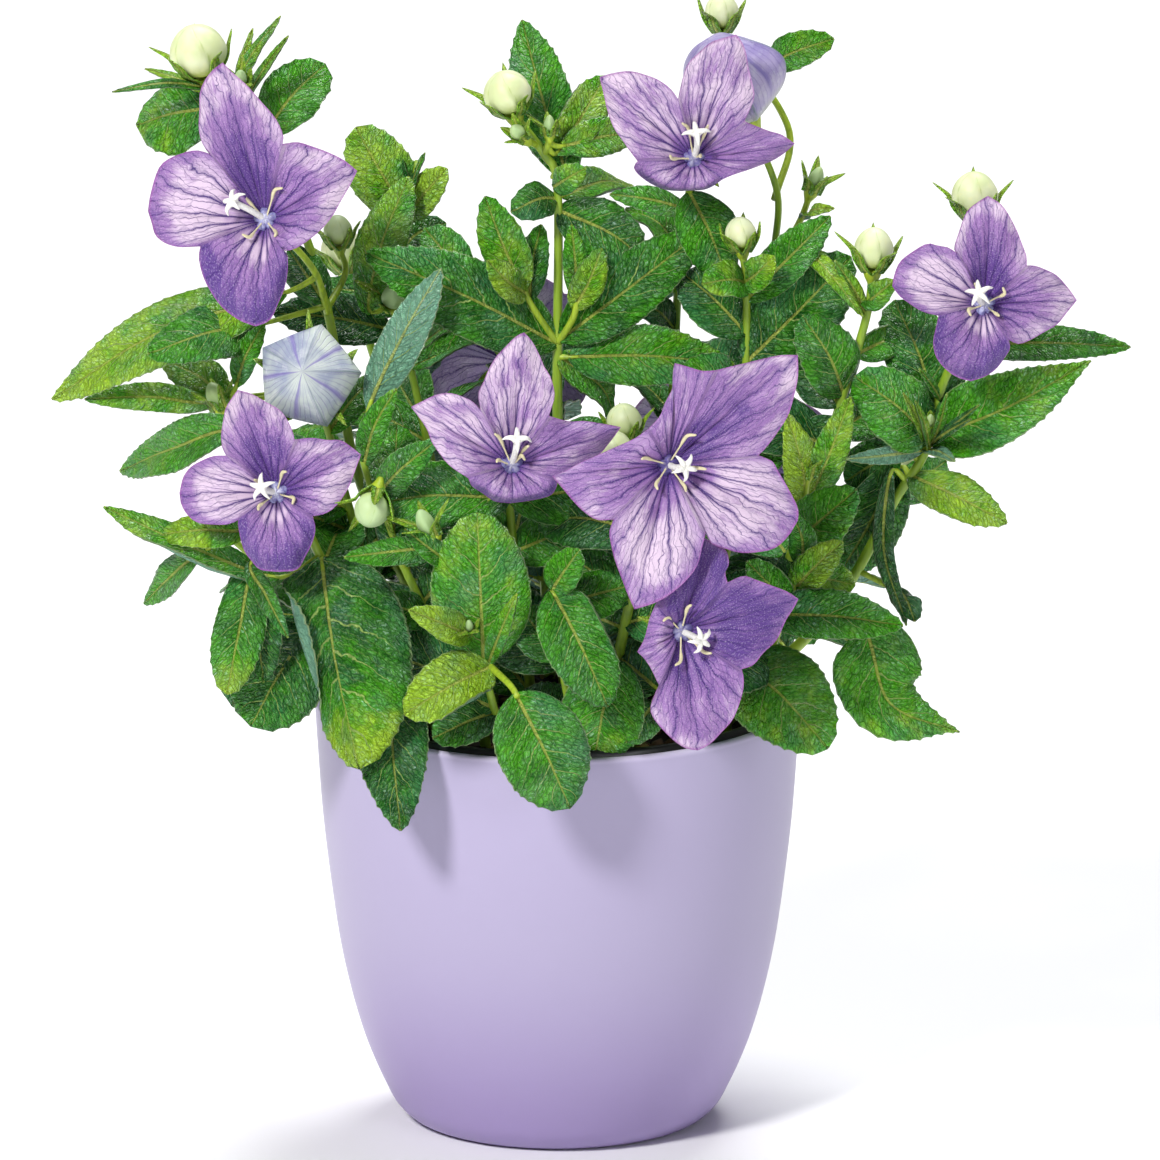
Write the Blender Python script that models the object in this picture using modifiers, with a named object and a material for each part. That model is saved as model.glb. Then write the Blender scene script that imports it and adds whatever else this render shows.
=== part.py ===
"""Potted balloon flower: a lilac pot, a black nursery pot with soil, and a leafy plant in bloom.

Sizes are millimetres until a mesh is made. Origin: centre of the pot's underside, +Z up.
The front is -Y. Plant positions are (x, v, y): x to the right, y to the back, and v the
height as it looks from the front when seen VIEW_TILT above level.
"""

import math

import bmesh
import bpy
import numpy as np

MM = 0.001
VIEW_TILT = math.radians(15)

# Driving dimensions of the pots and the soil
POT_HEIGHT = 108.0
POT_RIM_RADIUS = 60.75
NURSERY_FLOOR = 3.3
NURSERY_BASE = 1.2
NURSERY_RIM_HEIGHT = 109.0
SOIL_TOP = 104.0
STEM_SINK = 14.0
CLEAR = 0.3

# Driving dimensions of the plant
BLADE = 0.75
PETAL = 0.7
NECK_WIDTH = 1.7
FOLD = math.radians(14)
TOOTH = 0.55
THROAT = 3.4
SEAM_SHARE = 0.7
CALYX = 2.3

LEAF_GREEN = (0.07, 0.27, 0.04)
PETAL_PURPLE = (0.27, 0.12, 0.47)


def clear_scene():
    for obj in list(bpy.data.objects):
        bpy.data.objects.remove(obj, do_unlink=True)


clear_scene()
parts = bpy.data.collections.new("potted_balloon_flower")
cutters = bpy.data.collections.new("cutters")
bpy.context.scene.collection.children.link(parts)
bpy.context.scene.collection.children.link(cutters)


def material(name, colour, roughness, metallic=0.0):
    made = bpy.data.materials.new(name)
    made.use_nodes = True
    shader = made.node_tree.nodes["Principled BSDF"]
    shader.inputs["Base Color"].default_value = (*colour, 1.0)
    shader.inputs["Roughness"].default_value = roughness
    shader.inputs["Metallic"].default_value = metallic
    return made


def node_object(name, mesh, colour, roughness):
    obj = bpy.data.objects.new(name, mesh)
    parts.objects.link(obj)
    mesh.materials.clear()
    mesh.materials.append(material(name, colour, roughness))
    return obj


def helper_object(name, mesh):
    obj = bpy.data.objects.new(name, mesh)
    obj.hide_render = True
    obj.display_type = "WIRE"
    cutters.objects.link(obj)
    return obj


def mesh_of(name, points, faces):
    """A mesh from points in millimetres, its faces turned outwards."""
    mesh = bpy.data.meshes.new(name)
    mesh.from_pydata([tuple(float(c) * MM for c in p) for p in points], [], faces)
    work = bmesh.new()
    work.from_mesh(mesh)
    bmesh.ops.recalc_face_normals(work, faces=work.faces)
    work.to_mesh(mesh)
    work.free()
    return mesh


def apply_modifiers(obj):
    graph = bpy.context.evaluated_depsgraph_get()
    made = bpy.data.meshes.new_from_object(obj.evaluated_get(graph))
    obj.modifiers.clear()
    obj.data = made


def join_all(obj, pieces, operation="UNION"):
    """One Boolean between an object and a list of helpers, which are then removed."""
    if not pieces:
        return
    group = bpy.data.collections.new(obj.name + "_pieces")
    cutters.children.link(group)
    for piece in pieces:
        group.objects.link(piece)
    boolean = obj.modifiers.new("join", "BOOLEAN")
    boolean.operation = operation
    boolean.solver = "EXACT"
    boolean.operand_type = "COLLECTION"
    boolean.collection = group
    apply_modifiers(obj)
    for piece in pieces:
        bpy.data.objects.remove(piece, do_unlink=True)
    bpy.data.collections.remove(group)


def lighten(obj, share):
    """Collapses the short edges that a union leaves where pieces meet."""
    fewer = obj.modifiers.new("fewer", "DECIMATE")
    fewer.ratio = share
    fewer.use_collapse_triangulate = True
    apply_modifiers(obj)


def smooth(obj, degrees=40):
    for face in obj.data.polygons:
        face.use_smooth = True
    obj.data.set_sharp_from_angle(angle=math.radians(degrees))


# Turned bodies: outer pot, nursery pot and soil

def turned(name, profile, steps, colour, roughness):
    """A body turned about Z from an outline that runs top to bottom on its outer side."""
    mesh = bpy.data.meshes.new(name)
    edges = [(i, i + 1) for i in range(len(profile) - 1)]
    mesh.from_pydata([(r * MM, 0.0, z * MM) for r, z in profile], edges, [])
    obj = node_object(name, mesh, colour, roughness)
    screw = obj.modifiers.new("turn", "SCREW")
    screw.steps = steps
    screw.render_steps = steps
    screw.use_merge_vertices = True
    screw.merge_threshold = 0.0001
    screw.use_normal_calculate = True
    apply_modifiers(obj)
    obj.data.materials.clear()
    obj.data.materials.append(bpy.data.materials[name])
    return obj


pot_outside = [
    (POT_RIM_RADIUS, POT_HEIGHT - 0.8), (58.9, 80.0), (54.6, 47.0), (48.9, 23.0),
    (43.2, 8.5), (38.6, 1.6), (33.0, 0.0),
]
pot_inside = [
    (0.0, 3.0), (38.0, 3.0), (46.6, 24.0), (52.4, 47.5), (56.7, 80.0),
    (58.5, POT_HEIGHT - 0.8),
]
pot_profile = [(59.6, POT_HEIGHT), *pot_outside, (0.0, 0.0)]
pot_profile += [*pot_inside, (59.6, POT_HEIGHT)]
pot = turned("pot", pot_profile, 40, (0.56, 0.46, 0.77), 0.22)
smooth(pot, 35)

nursery_profile = [
    (57.8, NURSERY_RIM_HEIGHT), (57.8, 104.0), (55.4, 103.4), (52.0, 56.0),
    (37.2, NURSERY_FLOOR), (0.0, NURSERY_FLOOR), (0.0, NURSERY_FLOOR + NURSERY_BASE),
    (36.4, NURSERY_FLOOR + NURSERY_BASE), (51.1, 56.0), (54.6, 104.0),
    (56.6, NURSERY_RIM_HEIGHT),
    (57.8, NURSERY_RIM_HEIGHT),
]
nursery = turned("nursery_pot", nursery_profile, 32, (0.012, 0.014, 0.013), 0.4)
drain_holes = []
for k in range(5):
    turn = math.radians(72 * k + 20)
    work = bmesh.new()
    bmesh.ops.create_cone(work, cap_ends=True, segments=8, radius1=3.5 * MM,
                          radius2=3.5 * MM, depth=6 * MM)
    drain = bpy.data.meshes.new("drain")
    work.to_mesh(drain)
    work.free()
    hole = helper_object(f"drain_{k}", drain)
    hole.location = (24 * MM * math.cos(turn), 24 * MM * math.sin(turn), 4 * MM)
    drain_holes.append(hole)
bpy.context.view_layer.update()
join_all(nursery, drain_holes, "DIFFERENCE")
smooth(nursery, 35)

soil_bottom = NURSERY_FLOOR + NURSERY_BASE + CLEAR
soil_profile = [
    (0.0, SOIL_TOP), (50.0, SOIL_TOP), (54.1, SOIL_TOP - 1.5), (50.6, 56.0),
    (35.8, soil_bottom), (0.0, soil_bottom),
]
soil = turned("soil", soil_profile, 32, (0.06, 0.045, 0.03), 0.95)


# Curves and frames that stems and leaves share

VIEWER = np.array((0, -math.cos(VIEW_TILT), math.sin(VIEW_TILT)))


def seen(x, v, y):
    """The real place of a point read off the front view at depth y."""
    height = (v - y * math.sin(VIEW_TILT)) / math.cos(VIEW_TILT)
    return np.array((x, y, height), float)


def unit(vector):
    return vector / max(np.linalg.norm(vector), 1e-9)


def spline(points, steps):
    """A smooth curve through the points, with steps to each span."""
    pts = np.array(points, float)
    ends = np.vstack([2 * pts[0] - pts[1], pts, 2 * pts[-1] - pts[-2]])
    made = []
    for i in range(1, len(ends) - 2):
        a, b, c, d = ends[i - 1], ends[i], ends[i + 1], ends[i + 2]
        for k in range(steps):
            t = k / steps
            made.append(0.5 * (2 * b + (c - a) * t + (2 * a - 5 * b + 4 * c - d) * t * t
                               + (3 * b - a - 3 * c + d) * t ** 3))
    made.append(pts[-1])
    return np.array(made)


def evened(curve, step):
    """The curve again, with points about a step apart."""
    total = np.linalg.norm(np.diff(curve, axis=0), axis=1).sum()
    count = max(2, int(round(total / step)))
    return np.array([along(curve, k / count)[0] for k in range(count + 1)])


def along(curve, share):
    """Point and direction at a share of the curve's length."""
    runs = np.linalg.norm(np.diff(curve, axis=0), axis=1)
    reach = np.concatenate([[0], np.cumsum(runs)])
    want = min(max(share, 0.0), 1.0) * reach[-1]
    i = min(int(np.searchsorted(reach, want, side="right")) - 1, len(runs) - 1)
    i = max(i, 0)
    part = (want - reach[i]) / max(runs[i], 1e-9)
    low, high = max(i - 1, 0), min(i + 2, len(curve) - 1)
    return curve[i] + (curve[i + 1] - curve[i]) * part, unit(curve[high] - curve[low])


def tube(name, curve, radii, sides=5):
    """A round stem along a curve: a bevelled curve object made into a closed mesh."""
    line = bpy.data.curves.new(name, "CURVE")
    line.dimensions = "3D"
    line.bevel_depth = MM
    line.bevel_mode = "ROUND"
    line.bevel_resolution = 1 if sides > 4 else 0
    line.use_fill_caps = True
    run = line.splines.new("POLY")
    run.points.add(len(curve) - 1)
    for k, (place, radius) in enumerate(zip(curve, radii)):
        run.points[k].co = (*[float(c) * MM for c in place], 1.0)
        run.points[k].radius = float(radius)
    source = bpy.data.objects.new(name, line)
    cutters.objects.link(source)
    bpy.context.view_layer.update()
    graph = bpy.context.evaluated_depsgraph_get()
    mesh = bpy.data.meshes.new_from_object(source.evaluated_get(graph))
    bpy.data.objects.remove(source, do_unlink=True)
    work = bmesh.new()
    work.from_mesh(mesh)
    bmesh.ops.remove_doubles(work, verts=work.verts, dist=1e-6)
    bmesh.ops.recalc_face_normals(work, faces=work.faces)
    work.to_mesh(mesh)
    work.free()
    return mesh


# Leaves

def leaf_outline(share):
    """Half-width of an ovate blade, 1 at its widest, at a share of its length."""
    share = min(max(share, 0.0), 1.0)
    return (share ** 0.72 * (1 - share) ** 0.95) / (0.431 ** 0.72 * 0.569 ** 0.95)


def leaf_face(middle, roll, tangent):
    """Direction that the upper face looks in: up and to the front, outwards at the back."""
    front = min(max((34 - middle[1]) / 50, 0), 1)
    outward = unit(np.array((middle[0], middle[1], 0.0)))
    look = np.array((0, -0.95 * front, 0.55)) + outward * (0.25 + 0.35 * (1 - front))
    normal = unit(look - tangent * np.dot(look, tangent))
    side = np.cross(tangent, normal)
    turn = math.radians(roll)
    return unit(normal * math.cos(turn) + side * math.sin(turn))


def leaf_line(stem_curve, leaf):
    """Midrib from inside the stem to the tip, and the share of it that is the stalk."""
    bx, bv, tx, tv, ty, width, roll, bow = leaf
    gap = [math.hypot(p[0] - bx, view_height(p) - bv) for p in stem_curve]
    root = stem_curve[int(np.argmin(gap))]
    tip = seen(tx, tv, ty)
    base = seen(bx, bv, root[1] + 0.12 * (ty - root[1]))
    stalk = np.linalg.norm(base - root)
    middle = (base + tip) / 2
    tangent = unit(tip - base)
    lift = leaf_face(middle, roll, tangent)
    middle = middle + lift * bow
    points = [root, base, middle, tip] if stalk > 2.5 else [root, middle, tip]
    curve = spline(points, 6)
    total = np.linalg.norm(np.diff(curve, axis=0), axis=1).sum()
    return curve, (stalk / total if stalk > 2.5 else 0.0)


def view_height(point):
    return point[2] * math.cos(VIEW_TILT) + point[1] * math.sin(VIEW_TILT)


def leaf_mesh(name, stem_curve, leaf, rng):
    """A toothed blade of even thickness, folded up a little along its midrib."""
    width, roll = leaf[5], leaf[6]
    curve, stalk = leaf_line(stem_curve, leaf)
    length = np.linalg.norm(np.diff(curve, axis=0), axis=1).sum() * (1 - stalk)
    toothed = length > 24 and width >= 12
    neck = 0.0 if stalk > 0 else min(2.6 / length, 0.12)
    ribs = [neck, 0.5, 1.0]
    outline = [(neck, 0.0), (0.32, 0.0), (0.7, 0.0)]
    if width < 8:
        outline = [(neck, 0.0), (0.43, 0.0)]
    if toothed:
        outline = [(neck, 0.0), (0.17, TOOTH), (0.3, -TOOTH), (0.44, TOOTH), (0.6, -TOOTH),
                   (0.74, TOOTH)]
    wave, phase = rng.uniform(0.3, 0.9), rng.uniform(0, 6.28)
    fold = FOLD * rng.uniform(0.5, 1.6)

    def place(share, half):
        at = stalk + (1 - stalk) * share
        centre, tangent = along(curve, at)
        normal = leaf_face(centre, roll, tangent)
        side = np.cross(tangent, normal)
        ripple = wave * math.sin(9 * share + phase) * (half / max(width / 2, 1e-6)) ** 2
        spot = centre + side * half * math.cos(fold)
        return spot + normal * (abs(half) * math.sin(fold) + ripple), normal

    def half_width(share, tooth):
        if share <= neck:
            return NECK_WIDTH / 2
        return max(NECK_WIDTH / 2, width / 2 * leaf_outline(share) + tooth)

    def strip(edge, marks, turned_over):
        i = j = 0
        while i < len(mids) - 1 or j < len(edge) - 1:
            next_rib = ribs[i + 1] if i < len(mids) - 1 else 9
            next_edge = marks[j + 1] if j < len(edge) - 1 else 9
            if next_edge <= next_rib:
                face = (mids[i], edge[j], edge[j + 1])
                j += 1
            else:
                face = (mids[i], edge[j], mids[i + 1])
                i += 1
            if len(set(face)) == 3:
                flats.append(face[::-1] if turned_over else face)

    root, direction = along(curve, 0.0)
    points, flats = [(root, leaf_face(root, roll, direction))], []

    def add(entry):
        points.append(entry)
        return len(points) - 1

    marks = [-1.0] + [share for share, _ in outline] + [1.0]
    ribs = [-1.0] + ribs
    mids = [0] + [add(place(share, 0.0)) for share in ribs[1:]]
    lefts = [0] + [add(place(share, -half_width(share, tooth))) for share, tooth in outline]
    rights = [0] + [add(place(share, half_width(share, tooth))) for share, tooth in outline]
    strip(lefts + [mids[-1]], marks, False)
    strip(rights + [mids[-1]], marks, True)
    border = lefts + [mids[-1]] + rights[:0:-1]
    return thick_mesh(name, points, flats, border, BLADE, pinched=0)


def thick_mesh(name, points, flats, border, thickness, pinched=-1):
    """Closes a sheet: both faces split alike, joined along the border."""
    count = len(points)
    low = [count + k for k in range(count)]
    if pinched >= 0:
        low[pinched] = pinched
    every = [spot + normal * thickness / 2 for spot, normal in points]
    every += [spot - normal * thickness / 2 for spot, normal in points]
    if pinched >= 0:
        every[pinched] = points[pinched][0]
    faces = [tuple(face) for face in flats]
    faces += [tuple(low[k] for k in face[::-1]) for face in flats]
    for a, b in zip(border, border[1:] + border[:1]):
        faces.append((a, b, low[b]))
        faces.append((a, low[b], low[a]))
    faces = [face for face in faces if len(set(face)) == 3]
    used = sorted({k for face in faces for k in face})
    renumber = {k: i for i, k in enumerate(used)}
    faces = [tuple(renumber[k] for k in face) for face in faces]
    return mesh_of(name, [every[k] for k in used], faces)


# Calyx cups, sepals and buds

def aimed(mesh, place, axis, spin=0.0):
    """Turns a mesh built along +Z so that +Z runs along the axis, then moves it."""
    axis = unit(np.array(axis, float))
    start = np.array((1.0, 0, 0)) if abs(axis[0]) < 0.9 else np.array((0, 1.0, 0))
    across = unit(np.cross(axis, start))
    other = np.cross(axis, across)
    c, s = math.cos(spin), math.sin(spin)
    first = across * c + other * s
    second = np.cross(axis, first)
    for vertex in mesh.vertices:
        x, y, z = vertex.co
        vertex.co = first * x + second * y + axis * z + np.array(place) * MM
    return mesh


def cone_mesh(name, low, high, length, sides, flat=1.0):
    work = bmesh.new()
    bmesh.ops.create_cone(work, cap_ends=True, segments=sides, radius1=low * MM,
                          radius2=high * MM, depth=length * MM)
    for vertex in work.verts:
        vertex.co.z += length * MM / 2
        vertex.co.y *= flat
    mesh = bpy.data.meshes.new(name)
    work.to_mesh(mesh)
    work.free()
    return mesh


def bud_mesh(name, place, axis, radius, length, point, columns=10, rows=4):
    """A round or pointed bud with five soft ribs, standing on its base."""
    work = bmesh.new()
    bmesh.ops.create_uvsphere(work, u_segments=columns, v_segments=rows, radius=1.0)
    for vertex in work.verts:
        turn = math.atan2(vertex.co.y, vertex.co.x)
        rise = (vertex.co.z + 1) / 2
        rib = 1 + 0.07 * math.cos(5 * turn) * math.sin(math.pi * rise)
        taper = 1 - point * max(rise - 0.45, 0) ** 1.4
        vertex.co.x *= radius * rib * taper * MM
        vertex.co.y *= radius * rib * taper * MM
        vertex.co.z = rise * length * MM
    mesh = bpy.data.meshes.new(name)
    work.to_mesh(mesh)
    work.free()
    return aimed(mesh, place, axis)


def calyx_mesh(name, top, axis, size, sepal_length, spread):
    """The green cup under a flower or bud, its rim drawn out into five pointed sepals."""
    lean = math.radians(spread)
    reach = size + sepal_length * math.cos(lean)
    points = []
    for k in range(5):
        turn = math.radians(72 * k)
        points.append((0.5 * size * math.cos(turn), 0.5 * size * math.sin(turn), -1.6 * size))
    for k in range(5):
        turn = math.radians(72 * k + 36)
        points.append((size * math.cos(turn), size * math.sin(turn), -0.75))
    for k in range(5):
        turn = math.radians(72 * k + 36)
        points.append((size * math.cos(turn), size * math.sin(turn), 0.0))
    for k in range(5):
        turn = math.radians(72 * k)
        rise = sepal_length * math.sin(lean) - 0.3
        points.append((reach * math.cos(turn), reach * math.sin(turn), rise))
    points.append((0.0, 0.0, 0.0))
    faces = [(4, 3, 2, 1, 0)]
    for k in range(5):
        after = (k + 1) % 5
        before = (k + 4) % 5
        faces.append((k, after, 5 + k))
        faces.append((k, 5 + k, 15 + k))
        faces.append((k, 15 + k, 5 + before))
        faces.append((5 + k, 10 + k, 15 + k))
        faces.append((5 + before, 15 + k, 10 + before))
        faces.append((20, 10 + before, 15 + k))
        faces.append((20, 15 + k, 10 + k))
    return aimed(mesh_of(name, points, faces), top, axis)


# Corollas and their centres

def corolla_edge(lobes):
    """Outline around the throat from lobes given as (tip x, tip v, notch x, notch v, fullness)."""
    edge = []
    for k, (tx, tv, nx, nv, full) in enumerate(lobes):
        before = np.array(lobes[k - 1][2:4], float)
        after = np.array((nx, nv), float)
        tip = np.array((tx, tv), float)
        axis = unit(tip - (before + after) / 2)
        for start, end, flip in ((before, tip, 1), (tip, after, -1)):
            notch = start if flip > 0 else end
            reach = np.linalg.norm(tip - notch)
            side = np.array((axis[1], -axis[0]))
            if np.dot(side, notch - tip) < 0:
                side = -side
            low = notch + axis * reach * 0.42 + side * full * reach * 0.3
            high = tip - axis * reach * 0.28 + side * full * reach * 0.24
            inner = [notch, low, high]
            if flip > 0:
                edge += [(p, q) for p, q in zip(inner, (0.0, 0.4, 0.8))]
                edge.append((tip, 1.0))
            else:
                edge += [(high, 0.8), (low, 0.4)]
    return edge


def on_plane(look, dx, dv):
    """A point of the flower's own plane, dx and dv from its middle as seen from the front."""
    if np.dot(look, VIEWER) > 0.5:
        flat = seen(dx, dv, 0.0)
        return flat - VIEWER * np.dot(flat, look) / np.dot(VIEWER, look)
    across = unit(np.cross(look, np.array((0, 0, 1.0))))
    return across * dx + np.cross(across, look) * dv


def corolla_mesh(name, throat, look, lobes, depth, curl):
    """A bell that opens into broad lobes, of even thickness all over."""
    edge = corolla_edge(lobes)
    rings = (0.0, 0.5, 1.0)
    count = len(edge)
    grid = []
    for share in rings:
        for spot, outer in edge:
            inner = spot / np.linalg.norm(spot) * min(THROAT, 0.5 * np.linalg.norm(spot))
            dx, dv = inner + (spot - inner) * share
            rise = 0.8 + (depth - 0.8) * (1 - (1 - share) ** 2.2)
            rise -= curl * outer * max(share - 0.35, 0) ** 2 * 2.4
            grid.append(throat + on_plane(look, dx, dv) + look * rise)
    grid.append(throat.copy())
    flats = []
    for ring in range(len(rings) - 1):
        for k in range(count):
            a, b = ring * count + k, ring * count + (k + 1) % count
            c, d = b + count, a + count
            flats.append((a, b, c))
            flats.append((a, c, d))
    for k in range(count):
        flats.append((k, len(grid) - 1, (k + 1) % count))
    grid = np.array(grid)
    normals = np.zeros_like(grid)
    for a, b, c in flats:
        normal = np.cross(grid[b] - grid[a], grid[c] - grid[a])
        for k in (a, b, c):
            normals[k] += normal
    points = [(spot, unit(normal)) for spot, normal in zip(grid, normals)]
    border = [(len(rings) - 1) * count + k for k in range(count)]
    return thick_mesh(name, points, flats, border, PETAL)


def centre_object(name, throat, look, depth, stigma, stamens):
    """Pistil with a star stigma, and a ring of thin bent stamens, on one low base."""
    foot = throat + look * (PETAL / 2 + CLEAR + 0.4)
    tip = throat + on_plane(look, stigma[0], stigma[1]) + look * (depth + 1)
    base = aimed(cone_mesh(name, 1.5, 1.1, 2.6, 6), foot, look)
    obj = node_object(name, base, (0.85, 0.82, 0.72), 0.6)
    pieces = []

    def rod(label, low, high, wide, narrow, sides=3):
        run = high - low
        piece = cone_mesh(label, wide, narrow, np.linalg.norm(run), sides)
        pieces.append(helper_object(label, aimed(piece, low, run)))

    rod(name + "_style", foot + look * 1.0, tip, 0.9, 0.8, 4)
    axis = unit(tip - foot)
    start = unit(np.cross(axis, np.array((0.2, 0.1, 1.0))))
    other = np.cross(axis, start)
    arms = stigma[2]
    star = []
    for k in range(2 * arms):
        turn = math.pi * k / arms + stigma[3]
        wide = 3.5 if k % 2 == 0 else 0.85
        out = start * math.cos(turn) + other * math.sin(turn)
        star.append(tip + out * wide + axis * (0.7 if k % 2 == 0 else 0.1))
    star += [tip + axis * 0.75, tip - axis * 0.6]
    faces = []
    for k in range(2 * arms):
        after = (k + 1) % (2 * arms)
        faces.append((2 * arms, k, after))
        faces.append((2 * arms + 1, after, k))
    mesh = mesh_of(name + "_star", star, faces)
    pieces.append(helper_object(mesh.name, mesh))
    for k, (sx, sv) in enumerate(stamens):
        flat = on_plane(look, sx, sv)
        end = throat + flat + look * (depth * 0.9 + 1)
        root = foot + look * 1.7 + unit(flat) * 0.4
        rod(f"{name}_stamen_{k}", root, end, 0.55, 0.4)
    join_all(obj, pieces)
    obj.data.materials.clear()
    obj.data.materials.append(bpy.data.materials[name])
    smooth(obj, 45)
    return obj


# The plant: one entry to each leafy stem. A row of leaves holds the base x and v, the tip
# x and v, the depth of the tip, the width, the roll in degrees and the bow.

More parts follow.
